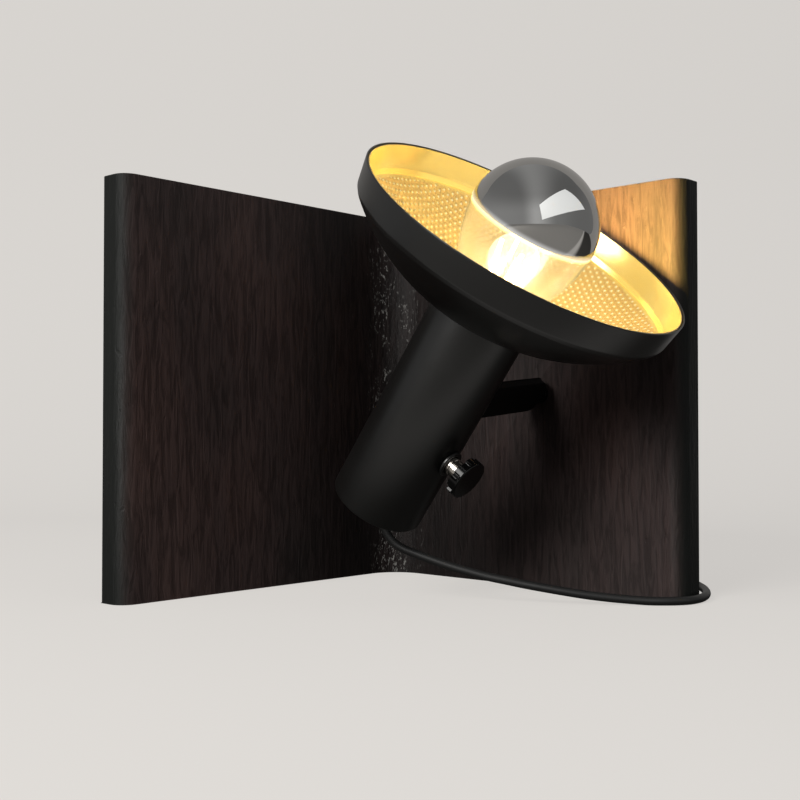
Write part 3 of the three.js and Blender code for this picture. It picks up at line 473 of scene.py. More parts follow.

# %% [markdown]
# The steel angle is the biggest surface. Hot rolling leaves mill scale: a dark skin, brown in thin
# places and nearly black elsewhere, with fine grain. The grain group gives its tones and its lines.
# The distance from the corner line then darkens the colour towards the root, as painted shade where the
# corner lies in shadow, and blackens the rounded toe of each flange.

# %% Mill scale
TOE_BLACK, FLECK_GREY = (0.007, 0.0078, 0.007, 1), (0.2, 0.195, 0.185, 1)
steel, tree, shader = new_material("mill_scale", Metallic=0.0, Roughness=0.5, Specular_IOR_Level=0.14)
grain = use_group(tree, grain_group, Fineness=380.0, Length=48.0, Patches=22.0)
tones = [(0.3, (0.028, 0.022, 0.021)), (0.52, (0.044, 0.0295, 0.028)), (0.7, (0.062, 0.0385, 0.0345))]
lines = ramp(tree, grain["Height"], [(0.4, 0.58), (0.58, 1.17)])
skin = mix(tree, 0.85, ramp(tree, grain["Patch"], tones), lines, "MULTIPLY")
from_corner = vector_node(tree, "SUBTRACT", own_place(tree), tuple(corner))
flat = vector_node(tree, "MULTIPLY", from_corner, (1, 1, 0))
distance = add(tree, "VectorMath", {0: flat}, operation="LENGTH").outputs["Value"]
out_along = math_node(tree, "MULTIPLY", distance, 5.0)
# painted shade: the colour drops to a quarter within 30 mm of the corner line and is full again by 110 mm
skin = mix(tree, 1.0, skin, ramp(tree, out_along, [(0.15, 0.24), (0.55, 1.0)], True), "MULTIPLY")
skin = mix(tree, ramp(tree, out_along, [(0.885, 0.0), (0.915, 1.0)]), skin, TOE_BLACK)
rough = ramp(tree, grain["Patch"], [(0.3, 0.62), (0.7, 0.42)])
tree.links.new(rough, shader.inputs["Roughness"])

# %% [markdown]
# In the hollow between the flanges the scale is rough and chipped, with grey flecks. A fine noise makes
# the flecks, a slow one gathers them in patches, and the distance keeps them in the hollow. Lines, pits
# and the hollow's roughness add up to one height, which a Bump node turns into relief: on a surface
# this dark, relief shows mostly as small glints.

# %% Flecks and relief
hollow = ramp(tree, math_node(tree, "MULTIPLY", distance, 20.0), [(0.0, 1.0), (0.2, 1.0), (0.5, 0.0)], True)
fleck_vector = stretched(tree, (1, 1, 0.45))
flecks = ramp(tree, noise(tree, fleck_vector, 760.0, 3.0, 0.7), [(0.57, 0.0), (0.66, 1.0)])
fleck_where = ramp(tree, noise(tree, fleck_vector, 90.0, 2.0, 0.5), [(0.42, 0.0), (0.55, 1.0)])
fleck_mask = math_node(tree, "MULTIPLY", flecks, fleck_where, hollow)
tree.links.new(mix(tree, fleck_mask, skin, FLECK_GREY), shader.inputs["Base Color"])
pits = ramp(tree, noise(tree, stretched(tree, (1, 1, 0.5)), 330.0, 2.0, 0.5), [(0.68, 1.0), (0.76, 0.0)])
line_height = math_node(tree, "MULTIPLY", grain["Height"], 1.3)
pit_height = math_node(tree, "MULTIPLY", pits, 0.35)
hollow_height = math_node(tree, "MULTIPLY", noise(tree, fleck_vector, 260.0, 5.0, 0.7), hollow, 2.2)
bump(tree, shader, math_node(tree, "ADD", line_height, pit_height, hollow_height), 0.00035)
print("mill scale's nodes:", len(tree.nodes))

# %% [markdown]
# The beam itself is an equal angle, 200 mm wide and tall, with a large root radius inside and a
# rounded toe on each flange. The saw and a file leave a small bevel round both ends. A prism of the
# exact outline with bevelled ends says all of that, and the hinge's hole is drilled through it.

# %% Beam
WIDTH, TALL, ROOT, TOE, EASED = 200, 200, 18, 10, 0.8
PIVOT_HOLE, OVERRUN = 4.5, 5
INNER = WIDTH - WALL
beam_corners = [
    (-WALL, WALL, EASED), (-WALL, -INNER, EASED), (0, -INNER, TOE), (0, 0, ROOT), (INNER, 0, TOE),
    (INNER, WALL, EASED),
]
beam = make_mesh("steel_angle", prism(rounded(beam_corners, 14, True), 0, TALL), FLANGE, bevel=0.5)
along_y = Matrix.Rotation(-math.pi / 2, 4, "X")
bore_place = Matrix.Translation((HINGE_ALONG, 0, HINGE_HEIGHT)) @ along_y
drill(beam, moved(rod(PIVOT_HOLE, -OVERRUN, WALL + OVERRUN), bore_place), FLANGE)
smooth(beam.data)
dress(beam, steel, "beam", "mill_scale_steel", "beam_angle")
print("beam faces:", len(beam.data.polygons))

# %% [markdown]
# The arm is a flat bar welded edge-on to the tube, with its far end rounded and set on the hinge. The
# hinge's own pieces are small turned parts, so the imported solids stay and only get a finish.

# %% Arm and hinge
ARM_WIDE, ARM_THICK, ARM_CORNER, ARM_TIP = 18, 4.3, 6.5, 1.8
TUBE = 22.25
arm_start, arm_half = TUBE + GAP - REACH, ARM_WIDE / 2
arm_corners = [
    (arm_start, -arm_half), (-ARM_TIP, -arm_half, ARM_CORNER), (-ARM_TIP, arm_half, ARM_CORNER),
    (arm_start, arm_half),
]
on_edge = Matrix(((0, 0, 1, 0), (1, 0, 0, 0), (0, 1, 0, 0), (0, 0, 0, 1)))
arm_bar = prism(rounded(arm_corners, 10, True), -ARM_THICK / 2, ARM_THICK / 2)
arm = make_mesh("flat_bar_arm", arm_bar, ARM @ on_edge, bevel=0.45)
dress(arm, shaded_arm_paint, "head", "black_paint", "swing_arm")
refinish(shaded_arm_paint, "pivot_stud", "pivot_bush")
refinish(zinc, "pivot_spring_washer", "pivot_washer", "pivot_nut")
print("arm, mm:", round(-ARM_TIP - arm_start, 1), "long,", ARM_WIDE, "wide,", ARM_THICK, "thick")

# %% [markdown]
# The tube is plain steel tube, 44.5 mm across, sawn square and eased at both ends, with the same
# powder coat as the shade. It is turned from its wall's outline, and the hole for the switch is cut
# through it, so that the wall's real thickness shows there.

# %% Tube
TUBE_WALL, TUBE_FOOT, TUBE_HEAD = 1.5, -54.8, 50.7
SWITCH_AT, SWITCH_HOLE, HOLE_FROM, HOLE_TO = -14, 4.55, 12, 26
tube_bore = TUBE - TUBE_WALL
tube_corners = [
    (tube_bore, TUBE_FOOT, 0.5), (TUBE, TUBE_FOOT, 0.55), (TUBE, TUBE_HEAD, 0.3), (tube_bore, TUBE_HEAD, 0.3)
]
tube = make_mesh("steel_tube", lathe(rounded(tube_corners, closed=True), 160, closed=True), HEAD)
along_x = Matrix.Rotation(math.pi / 2, 4, "Y")
switch_turned = Matrix.Translation((0, 0, SWITCH_AT)) @ along_x
drill(tube, moved(rod(SWITCH_HOLE, HOLE_FROM, HOLE_TO), switch_turned), HEAD)
smooth(tube.data)
dress(tube, paint, "head", "black_paint", "lamp_tube")
print("tube, mm:", round(TUBE_HEAD - TUBE_FOOT, 1), "long,", 2 * TUBE, "across")

# %% [markdown]
# A turned cap with a short skirt closes the foot. Screws hold the cap, and another one the terminal
# block, through the tube's wall. They are small and dark, but the mesh is a result too, so each head
# is domed by its outline and its cross recess is cut.

# %% End cap and screws
CAP_HOLE, CAP_WIDE, CAP_SKIRT, CAP_PLATE, CAP_TALL = 4.3, 20.45, 1.5, 1.8, 8
CAP_FACE = TUBE_FOOT + 10.8
CAP_TOP, cap_inner = CAP_FACE + CAP_TALL, CAP_WIDE - CAP_SKIRT
cap_outline = rounded(
    [
        (CAP_HOLE, CAP_FACE), (CAP_WIDE, CAP_FACE, 0.6), (CAP_WIDE, CAP_TOP), (cap_inner, CAP_TOP),
        (cap_inner, CAP_FACE + CAP_PLATE), (CAP_HOLE, CAP_FACE + CAP_PLATE),
    ],
    closed=True,
)
end_cap = make_mesh("foot_cap", lathe(cap_outline, 96, closed=True), HEAD)
dress(end_cap, paint, "head", "black_paint", "tube_end_cap")

SHANK, SHANK_LONG, SCREW_HEAD, SCREW_TALL = 1.5, 5, 2.8, 1.7
RECESS_HALF, RECESS_THIN, RECESS_FOOT = 1.6, 0.25, 0.9


def plain_screw(name, height, turn_deg, material, slot, node):
    """A pan-head screw through the tube's wall, with a cross recess."""
    face = TUBE + GAP
    outline = [
        (0, face - SHANK_LONG), (SHANK, face - SHANK_LONG), (SHANK, face), (SCREW_HEAD, face),
        (SCREW_HEAD, face + 0.7, 0.6), (2.0, face + 1.5, 0.6), (0.9, face + SCREW_TALL),
        (0, face + SCREW_TALL),
    ]
    side = Matrix.Rotation(math.radians(turn_deg), 4, "Z") @ Matrix.Translation((0, 0, height))
    place = HEAD @ side @ along_x
    screw = make_mesh(name, lathe(rounded(outline), 32), place)
    a, b = RECESS_HALF, RECESS_THIN
    recess = prism([(-a, -b), (a, -b), (a, b), (-a, b)], face + RECESS_FOOT, face + 3)
    for across in (0, math.pi / 2):
        drill(screw, moved(recess, Matrix.Rotation(across, 4, "Z")), place)
    return dress(screw, material, "head", slot, node)


plain_screw("cap_screw_a", CAP_FACE + 5, 60, paint, "black_paint", "end_cap_screw_1")
plain_screw("cap_screw_b", CAP_FACE + 5, 180, paint, "black_paint", "end_cap_screw_2")
plain_screw("terminal_screw_outside", -29, 180, zinc, "zinc", "block_screw")
print("end cap's face is", round(CAP_FACE - TUBE_FOOT, 1), "mm up inside the tube")

# %% [markdown]
# The switch shows as three parts on the tube's side: a thin black ring nut against the wall, a bright
# collar with a fine groove, and a small black knob. The first two are turned parts, so a lathe outline
# says all of them.

# %% Ring nut and collar
NUT_WIDE, NUT_FOOT, NUT_TOP = 6.4, 22.6, 23.75
COLLAR, COLLAR_BORE, COLLAR_FOOT, COLLAR_TOP = 4.25, 2.3, 15.6, 30.3
switch_place = HEAD @ switch_turned
nut_corners = [
    (SWITCH_HOLE, NUT_FOOT), (NUT_WIDE, NUT_FOOT, 0.2), (NUT_WIDE, NUT_TOP, 0.4), (SWITCH_HOLE, NUT_TOP, 0.2)
]
ring_nut = make_mesh("ring_nut", lathe(rounded(nut_corners, closed=True), 64, closed=True), switch_place)
dress(ring_nut, plastic, "head", "black_paint", "switch_ring_nut")

collar_outline = [
    (COLLAR_BORE, COLLAR_FOOT), (NUT_WIDE, COLLAR_FOOT), (NUT_WIDE, 16.9), (COLLAR, 16.9), (COLLAR, 25.2),
    (3.95, 25.5), (3.95, 26.1), (COLLAR, 26.4), (COLLAR, COLLAR_TOP - 0.25), (4.0, COLLAR_TOP),
    (COLLAR_BORE, COLLAR_TOP),
]
collar = make_mesh("switch_collar_sleeve", lathe(collar_outline, 64, closed=True), switch_place)
dress(collar, nickel, "head", "nickel", "switch_collar")
print("collar stands", round(COLLAR_TOP - TUBE, 1), "mm out of the tube")

# %% [markdown]
# The knob is a disc with eight finger grooves that run out of its back and end just short of its face.
# A boolean cut would leave knife edges, so the disc is a fine grid instead, and each of its points is
# sunk by how far it lies inside the nearest groove.

# %% Knob
KNOB_FOOT, KNOB_TALL, KNOB_WIDE = 30.6, 4.85, 9.5
GROOVES, GROOVE_TURN, GROOVE_HALF, GROOVE_DEEP, GROOVE_EDGE = 8, math.radians(32), 1.75, 1.25, 0.75
KNOB_SIDES = GROOVES * 40


def groove(angle, rise):
    """How deep a groove is at this place on the knob's side, from 0 to 1."""
    step = 2 * math.pi / GROOVES
    off = (angle - GROOVE_TURN + step / 2) % step - step / 2
    closed_end = KNOB_TALL - 0.55 - GROOVE_HALF
    away = math.hypot(off * KNOB_WIDE, max(0.0, rise - closed_end))
    share = min(1.0, max(0.0, (GROOVE_HALF - away) / GROOVE_EDGE))
    return math.sin(share * math.pi / 2)


knob_side = [(0.35, 0), (0.1, 0.1), (0, 0.3)] + [(0, 0.3 + 0.12 * k) for k in range(1, 33)]
knob_side += [(0.04, 4.45), (0.15, 4.65), (0.35, 4.79), (0.6, KNOB_TALL)]
knob_face = [(1.2, KNOB_TALL), (3.5, KNOB_TALL - 0.05), (6.5, KNOB_TALL - 0.08), (9.4, KNOB_TALL - 0.08)]
knob_layers = [(2.6, 0)] + knob_side + knob_face
verts, faces = [], []
for inset, rise in knob_layers:
    for k in range(KNOB_SIDES):
        angle = 2 * math.pi * k / KNOB_SIDES
        radius = KNOB_WIDE - inset - (GROOVE_DEEP * groove(angle, rise) if inset < 1 else 0)
        verts.append((radius * math.cos(angle), radius * math.sin(angle), KNOB_FOOT + rise))
for layer in range(len(knob_layers) - 1):
    for k in range(KNOB_SIDES):
        a, b = layer * KNOB_SIDES + k, layer * KNOB_SIDES + (k + 1) % KNOB_SIDES
        faces.append((a, b, b + KNOB_SIDES, a + KNOB_SIDES))
faces.append(list(range(KNOB_SIDES)))
faces.append(list(range(len(verts) - KNOB_SIDES, len(verts))))
knob = make_mesh("grooved_knob", (verts, faces), switch_place, sharp=40)
drill(knob, rod(COLLAR_BORE, 20, KNOB_FOOT + 3.55, 32), switch_place)
dress(knob, knob_gloss, "knob", "black_plastic", "switch_knob")
print("knob faces:", len(knob.data.polygons))

# %% [markdown]
# The shade is spun steel: a flat seat on the tube, a dish that is part of a big circle, a tight
# shoulder and a straight band that opens very slightly to the mouth. Its outline is one curve turned
# round the tube's axis. The wall is under 1 mm thick with a rounded lip, because the photograph shows
# the lip edge on.

# %% Shade
SEAT, HOLE, NECK, DISH, SHELL = 51, 19.6, 22.5, 90, 0.8
SHOULDER, SHOULDER_AT = 72.2, 78.4
BAND, BAND_AT, RIM, RIM_AT = 73.4, 80.4, 75, 92.45
neck_point, shoulder_point = Vector((NECK, SEAT)), Vector((SHOULDER, SHOULDER_AT))
chord = shoulder_point - neck_point
lift = math.sqrt(DISH**2 - (chord.length / 2) ** 2)
dish_centre = (neck_point + shoulder_point) / 2 + Vector((-chord.y, chord.x)).normalized() * lift
band_slope = (RIM - BAND) / (RIM_AT - BAND_AT)


def dish_arc(inset, steps, seat=SEAT):
    """Points of the dish, this far inside its outer face, from the seat to the shoulder."""
    radius = DISH - inset
    start = math.asin((seat + inset - dish_centre.y) / radius)
    end = math.atan2(SHOULDER_AT - dish_centre.y, SHOULDER - dish_centre.x)
    angles = [start + (end - start) * i / steps for i in range(steps + 1)]
    return [(dish_centre.x + radius * math.cos(t), dish_centre.y + radius * math.sin(t)) for t in angles]


def band_at(height):
    return RIM - band_slope * (RIM_AT - height)


outer = dish_arc(0, 40)
inner = dish_arc(SHELL, 40)
shade_outline = [(HOLE, SEAT)] + outer[:-1]
shade_outline += rounded([outer[-2], (*outer[-1], 3), (BAND, BAND_AT, 2.5), (RIM, RIM_AT)], steps=6)[1:-1]
lip = [(BAND, BAND_AT), (RIM, RIM_AT, 0.35), (RIM - SHELL, RIM_AT, 0.35), (BAND - SHELL, BAND_AT)]
shade_outline += rounded(lip, steps=5)[1:-1]
back = [(RIM - SHELL, RIM_AT), (BAND - SHELL, BAND_AT, 2), (*inner[-1], 2), inner[-2]]
shade_outline += rounded(back, steps=6)[1:-1]
shade_outline += inner[:-1][::-1] + [(HOLE, SEAT + SHELL)]
shade = make_mesh("spun_shade", lathe(shade_outline, 240, closed=True), HEAD)
dress(shade, paint, "head", "black_paint", "shade_shell")
print("shade, mm:", 2 * RIM, "across its mouth,", round(RIM_AT - SEAT, 1), "deep")

# %% [markdown]
# Inside the shade lies a gold reflector. A smooth band lines the mouth, and a small step leads into the
# dish. Its outline follows the shade's own, a clearance further in, so the two never touch.

# %% Gold liner's outline
LINER, LINER_WALL, STEP_AT, STEP = SHELL + GAP, 0.6, 82.3, 0.8
LINER_SIDES, LINER_ROWS = 960, 132
face = LINER + LINER_WALL
inside, outside = dish_arc(face, LINER_ROWS), dish_arc(LINER, 24)
smooth_top = [
    (band_at(BAND_AT) - face - STEP - 0.5, BAND_AT - 1.0),
    (band_at(STEP_AT) - face - STEP, STEP_AT - 0.9),
    (band_at(STEP_AT) - face - 0.55, STEP_AT - 0.15),
]
step_top, mouth_top = (band_at(STEP_AT) - face, STEP_AT + 0.35), RIM_AT - 0.3
mouth = [
    step_top,
    (band_at(mouth_top) - face, mouth_top, 0.25),
    (band_at(mouth_top) - LINER, mouth_top, 0.25),
    (band_at(STEP_AT) - LINER, STEP_AT),
]
liner_outline = [(HOLE, SEAT + face)] + inside[:-1] + smooth_top + rounded(mouth, 3)
liner_outline += [(band_at(BAND_AT) - LINER - STEP, BAND_AT)] + outside[:-1][::-1] + [(HOLE, SEAT + LINER)]
print("gold liner's outline:", len(liner_outline), "points")

# %% [markdown]
# The dish was pressed from sheet with an even lattice of bumps, about three millimetres apart. They are
# real geometry: each point is moved along its normal by three crossed waves, laid out on the sheet as
# it was before it was spun. How high each point stands is kept as an attribute, for the finish to read.

# %% Dimples
PITCH, DIMPLE, SMOOTH_CREST, FADE_ROWS = 3.25, 0.42, 0.45, 3


def dimple(x, y):
    """Height of the pressed lattice at a place on the flat sheet, from 0 to 1."""
    wave = 4 * math.pi / (math.sqrt(3) * PITCH)
    ways = (0, math.pi / 3, 2 * math.pi / 3)
    total = sum(math.cos(wave * (x * math.cos(t) + y * math.sin(t))) for t in ways)
    return max(0.0, (total + 1.0) / 4.0) ** 1.3


verts, faces = lathe(liner_outline, LINER_SIDES, closed=True)
crests = [SMOOTH_CREST] * len(verts)
along_sheet = [HOLE]
for a, b in zip(liner_outline, liner_outline[1:]):
    along_sheet.append(along_sheet[-1] + math.dist(a, b))
first_row, last_row = 2, len(inside) - 2
for row in range(first_row, last_row):
    radius, height = liner_outline[row]
    before, after = liner_outline[row - 1], liner_outline[row + 1]
    run = Vector((after[0] - before[0], after[1] - before[1])).normalized()
    fade = min(1.0, (row - first_row) / FADE_ROWS, (last_row - 1 - row) / FADE_ROWS)
    for k in range(LINER_SIDES):
        angle = 2 * math.pi * k / LINER_SIDES
        crest = dimple(along_sheet[row] * math.cos(angle), along_sheet[row] * math.sin(angle))
        crests[row * LINER_SIDES + k] = crest * fade + SMOOTH_CREST * (1 - fade)
        rise = DIMPLE * fade * crest
        out, up = radius - run.y * rise, height + run.x * rise
        verts[row * LINER_SIDES + k] = (out * math.cos(angle), out * math.sin(angle), up)
liner = make_mesh("gold_dish", (verts, faces), HEAD, sharp=60)
crest_layer = liner.data.attributes.new("crest", "FLOAT", "POINT")
crest_layer.data.foreach_set("value", crests)
print("gold dish faces:", len(liner.data.polygons))

# %% [markdown]
# A gold dish lit from inside throws its light back and forth, so its crests look nearly white and the
# ground between them a deep yellow. That takes many bounces to trace, so the finish paints it instead: a
# ramp reads the crest attribute and gives the gold's colour, with painted highlights that turn the crests
# nearly white and painted shade that deepens the yellow between them. Metallic stays under 1, so that
# soft light colours it too.

# %% Gold finish
GOLD_ROUGH = 0.24
gold, tree, shader = new_material("gold_reflector", Metallic=0.75, Roughness=GOLD_ROUGH)
coat = use_group(tree, coat_group, Peel=900.0, Cloud=60.0, Dull=0.12)
crest_share = add(tree, "Attribute", attribute_name="crest").outputs["Fac"]
# gold colour, with painted highlights on the crests and painted shade between them
gold_and_highlight_tones = [(0.1, (0.84, 0.56, 0.21)), (0.45, (0.95, 0.72, 0.26)), (0.8, (1.0, 0.95, 0.85))]
gold_painted_highlights = ramp(tree, math_node(tree, "ADD", coat["Dullness"], crest_share), gold_and_highlight_tones)
tree.links.new(gold_painted_highlights, shader.inputs["Base Color"])
tree.links.new(math_node(tree, "ADD", coat["Dullness"], GOLD_ROUGH), shader.inputs["Roughness"])
bump(tree, shader, noise(tree, own_place(tree), 240.0, 3.0, 0.6), 0.00002)
dress(liner, gold, "head", "gold_reflector", "reflector_liner")
print("crest attribute:", round(min(crests), 2), "to", round(max(crests), 2))

# %% [markdown]
# The bulb is a crown-mirror lamp. Its neck runs into the ball in one curve, a cubic one here, and the
# glass is a real shell with an outer and an inner face, so that light bends in it as it should.

# %% Bulb's outline
BULB, BULB_AT, GLASS = 28.25, 95.1, 0.7
BULB_NECK, NECK_LOW, NECK_TOP = 12.2, 36, 46
neck_curve = ((13.6, 50.5), (17.5, 62), (BULB, 79.1), (BULB, BULB_AT))


def bezier(points, steps):
    """A cubic curve from its first point to its last."""
    out = []
    for i in range(steps + 1):
        t = i / steps
        weights = ((1 - t) ** 3, 3 * t * (1 - t) ** 2, 3 * t * t * (1 - t), t**3)
        out.append(tuple(sum(w * p[axis] for w, p in zip(weights, points)) for axis in (0, 1)))
    return out


def crown(radius, steps, low=0.0):
    """The upper part of the ball, from an angle above its equator to its top."""
    angles = [low + (math.pi / 2 - low) * i / steps for i in range(steps + 1)]
    points = [(radius * math.cos(t), BULB_AT + radius * math.sin(t)) for t in angles]
    return points[:-1] + [(0, BULB_AT + radius)]


def bulb_outline(inset):
    """The whole glass, this far inside its outer face."""
    neck = [(BULB_NECK - inset, NECK_LOW), (BULB_NECK - inset, NECK_TOP)]
    body = bezier([(radius - inset, height) for radius, height in neck_curve], 24)
    return neck + body[:-1] + crown(BULB - inset, 24)


bulb_shell = lathe(bulb_outline(0) + bulb_outline(GLASS)[::-1], 128, closed=True)
bulb = make_mesh("bulb_glass_shell", bulb_shell, HEAD)
print("bulb faces:", len(bulb.data.polygons))

# %% [markdown]
# A camera sees the space round a bright filament as a white fog. The lit glass has that from two ramps
# over the height up the tube. One makes the glass a little rough beside the filaments. The other lets
# it give off some warm light, most of it in a thin ring where the silver begins. The height is taken in
# the piece's own coordinates, so both stay in place when the head tilts.

# %% Bulb's glass
LIT_YELLOW = (1, 0.86, 0.4, 1)
tube_axis = (HEAD.to_3x3() @ Vector((0, 0, 1))).normalized()


def up_the_tube(tree, stretch):
    """How far up the tube a point of the head lies, in metres, times this stretch."""
    from_head = vector_node(tree, "SUBTRACT", own_place(tree), tuple(HEAD.translation))
    along = add(tree, "VectorMath", {0: from_head, 1: tuple(tube_axis)}, operation="DOT_PRODUCT")
    return math_node(tree, "MULTIPLY", along.outputs["Value"], stretch)


def new_glass(name, **sockets):
    sockets |= {"Base_Color": (1, 0.985, 0.96, 1), "IOR": 1.45, "Transmission_Weight": 1.0}
    return new_material(name, Roughness=0.0, **sockets)


lit_glass, tree, shader = new_glass("lit_glass", Emission_Strength=1.0)
height = up_the_tube(tree, 10.0)
lit_stops = [(0.58, 0), (0.76, 0.08), (0.9, 0.03), (0.945, 0.05), (0.96, 0.7), (0.985, 0.7), (0.99, 0)]
lit = mix(tree, 1.0, ramp(tree, height, lit_stops), LIT_YELLOW, "MULTIPLY")
tree.links.new(lit, shader.inputs["Emission Color"])
haze = ramp(tree, height, [(0.6, 0.02), (0.7, 0.11), (0.84, 0.11), (0.93, 0.0)])
tree.links.new(haze, shader.inputs["Roughness"])
dress(bulb, lit_glass, "head", "clear_glass", "bulb_glass")
bulb.visible_shadow = False
print("lit glass's nodes:", len(tree.nodes))

# %% [markdown]
# The silver is a thin skin over the top of the ball. It could be a mask in the glass's own finish, but
# a skin of its own keeps a sharp edge and a clean mirror. It is slightly smoky, and its lowest edge has
# a painted glow, which stands for the light from inside that comes through there.

# %% Crown mirror
SKIN_OUT, SKIN_IN, SKIN_LOW = 0.45, 0.15, math.radians(3)
silver, tree, shader = new_material("crown_silver", Metallic=1.0, Roughness=0.03, Emission_Strength=1.0)
coat = use_group(tree, coat_group, Peel=500.0, Cloud=45.0, Dull=0.06)
smoky_tones = [(0.45, (0.50, 0.495, 0.48)), (0.55, (0.58, 0.575, 0.56))]
smoky = ramp(tree, math_node(tree, "ADD", coat["Dullness"], 0.5), smoky_tones)
tree.links.new(smoky, shader.inputs["Base Color"])
# painted glow: the mirror's lowest edge gives off light, though the mirror is no lamp
edge_glow = ramp(tree, up_the_tube(tree, 8.0), [(0.775, 0.42), (0.79, 0.0)])
tree.links.new(edge_glow, shader.inputs["Emission Color"])
mirror_outline = crown(BULB + SKIN_OUT, 32, SKIN_LOW) + crown(BULB + SKIN_IN, 32, SKIN_LOW)[::-1]
mirror = make_mesh("crown_mirror", lathe(mirror_outline, 160, closed=True), HEAD)
dress(mirror, silver, "head", "silver_mirror", "bulb_mirror_cap")
print("mirror faces:", len(mirror.data.polygons))

# %% [markdown]
# The bulb's cap is thin metal with a rolled thread. A cosine along a lathe's outline gives rings with
# the thread's pitch. A true helix would take more care and look the same inside the holder.

# %% Screw cap
THREAD_PITCH, THREAD_HALF, THREAD, THREAD_STEPS = 3.63, 0.25, 12.85, 60
THREAD_LOW, THREAD_TOP = 24.5, 46.5
cap_points = []
for k in range(THREAD_STEPS + 1):
    rise = (THREAD_TOP - THREAD_LOW) * k / THREAD_STEPS
    cap_points.append((THREAD + THREAD_HALF * math.cos(2 * math.pi * rise / THREAD_PITCH), THREAD_LOW + rise))
cap_points += [(12.5, THREAD_TOP), (12.5, 35.7), (12.0, 35.7), (12.0, THREAD_LOW)]
bulb_cap = make_mesh("bulb_screw_cap", lathe(cap_points, 64, closed=True), HEAD)
dress(bulb_cap, nickel, "head", "nickel", "bulb_cap")
print("thread turns:", round((THREAD_TOP - THREAD_LOW) / THREAD_PITCH, 1))

# %% [markdown]
# The filaments stay as packed and get a glowing finish. Their own soft light is switched off, because
# a few bright threads would need very many samples, and a small lamp takes over their work further on.
# The glass stem that carries them is one turned outline.

# %% Filaments and stem
glow, tree, shader = new_material(
    "filament_glow", Roughness=0.6, Base_Color=(1, 0.75, 0.4, 1), Emission_Strength=30
)
glow_tones = [(0.2, (1.0, 0.62, 0.25)), (0.8, (1.0, 0.78, 0.42))]
glow_colour = ramp(tree, noise(tree, own_place(tree), 900.0, 1.0), glow_tones)
tree.links.new(glow_colour, shader.inputs["Emission Color"])
refinish(glow, "bulb_filaments")
nodes["bulb_filaments"].visible_diffuse = False
nodes["bulb_filaments"].visible_shadow = False
stem_corners = [
    (0, 36.3), (10.9, 36.3), (10.9, 36.7, 0.2), (6, 38.5, 3), (2.2, 45, 4), (2, 77, 1), (2.6, 78.5, 1),
    (1.2, 80, 0.6), (0, 80),
]
glass, tree, shader = new_glass("clear_glass")
stem = make_mesh("glass_stem", lathe(rounded(stem_corners), 32), HEAD)
dress(stem, glass, "head", "clear_glass", "bulb_stem")
stem.visible_shadow = False
print("stem, mm:", round(stem_corners[-1][1] - stem_corners[0][1], 1), "tall")

# %% [markdown]
# What stands inside the tube is only seen when the lamp is opened or the bulb is out, but each piece
# still gets the finish of the real one: white ceramic, black phenolic, brass and brown silicone
# sleeve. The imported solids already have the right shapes, so only their materials change.

# %% Inner pieces
inner_finishes = {
    plastic: ["switch_case", "switch_cover", "switch_rotor", "holder_shell", "shade_ring", "bulb_insulator"],
    brass: [
        "terminal_screw_1", "terminal_screw_2", "switch_contact_1", "switch_contact_2", "holder_nipple",
        "holder_screw_shell", "holder_centre_contact", "bulb_contact",
    ],
    zinc: ["switch_spindle", "holder_bridge", "nipple_nut"],
    white_glaze: ["terminal_block", "holder_core"],
    natural_nylon: ["relief_nut"],
    sheath: ["cord_sheath_end", "cord_relief", "plug_relief"],
    brown_sleeve: ["wire_supply_live", "wire_supply_neutral", "wire_lamp_neutral", "wire_lamp_live"],
}
for material, names in inner_finishes.items():
    refinish(material, *names, sharp=35)
print("inner pieces:", sum(len(names) for names in inner_finishes.values()))

# %% [markdown]
# The cord is a fixed length of round cable, 4 mm thick. It leaves the tube's foot in a tapered relief,
# sinks to the floor in front of the right flange and runs round its toe, through listed points.
# The rest is wound behind the flange in two flat layers, which spiral in and out again by a formula.

# %% Cord's route
CORD = 2.0
cord_drop = [
    (-10.45, -119, 37.6), (-9.1, -118.5, 34), (-7, -118.4, 30.3), (-4.1, -118.6, 26.9), (0.2, -119.4, 24.4),
    (5.5, -120.4, 22.3), (13.9, -122, 19.3), (22.2, -123.6, 16.6), (30.5, -125.2, 14.3), (38.8, -126.8, 12.2),
    (47, -128.4, 10.6), (55.2, -129.9, 9), (63.4, -131.5, 7.6), (73.3, -133.2, 6), (84.1, -134.6, 4.4),
    (94.8, -135.7, 3.2),
]
cord_floor = [
    (104.8, -136.8, 2.4), (112, -137.9, 2), (119, -138.9, 2), (126, -138.5, 2), (132.2, -136.1, 2),
    (137.3, -131.4, 2), (141.6, -125, 2), (145.1, -117, 2), (147.9, -107, 2), (149.8, -95, 2),
    (150.4, -80, 2), (148.7, -62, 2), (144.5, -46, 2.2), (140.8, -35, 2.7), (138.9, -26.5, 3.05),
    (138.6, -19.8, 3.1),
]
COIL_AT, COIL_IN, COIL_PITCH, COIL_FOOT, COIL_STEPS = (101, -15), 19.8, 4.45, 3.1, 24
TURNS_DOWN, TURNS_UP, PLUG_AXIS, TAIL = 4, 4.25, 6.95, 13


def coil_point(turns):
    """A place on the coil, this many turns after the spiral reverses."""
    radius = COIL_IN + COIL_PITCH * abs(turns)
    climb = min(1.0, max(0.0, 2 * turns + 0.5))
    angle = 2 * math.pi * turns
    x, y = COIL_AT[0] + radius * math.cos(angle), COIL_AT[1] + radius * math.sin(angle)
    return (x, y, COIL_FOOT + COIL_PITCH * climb)


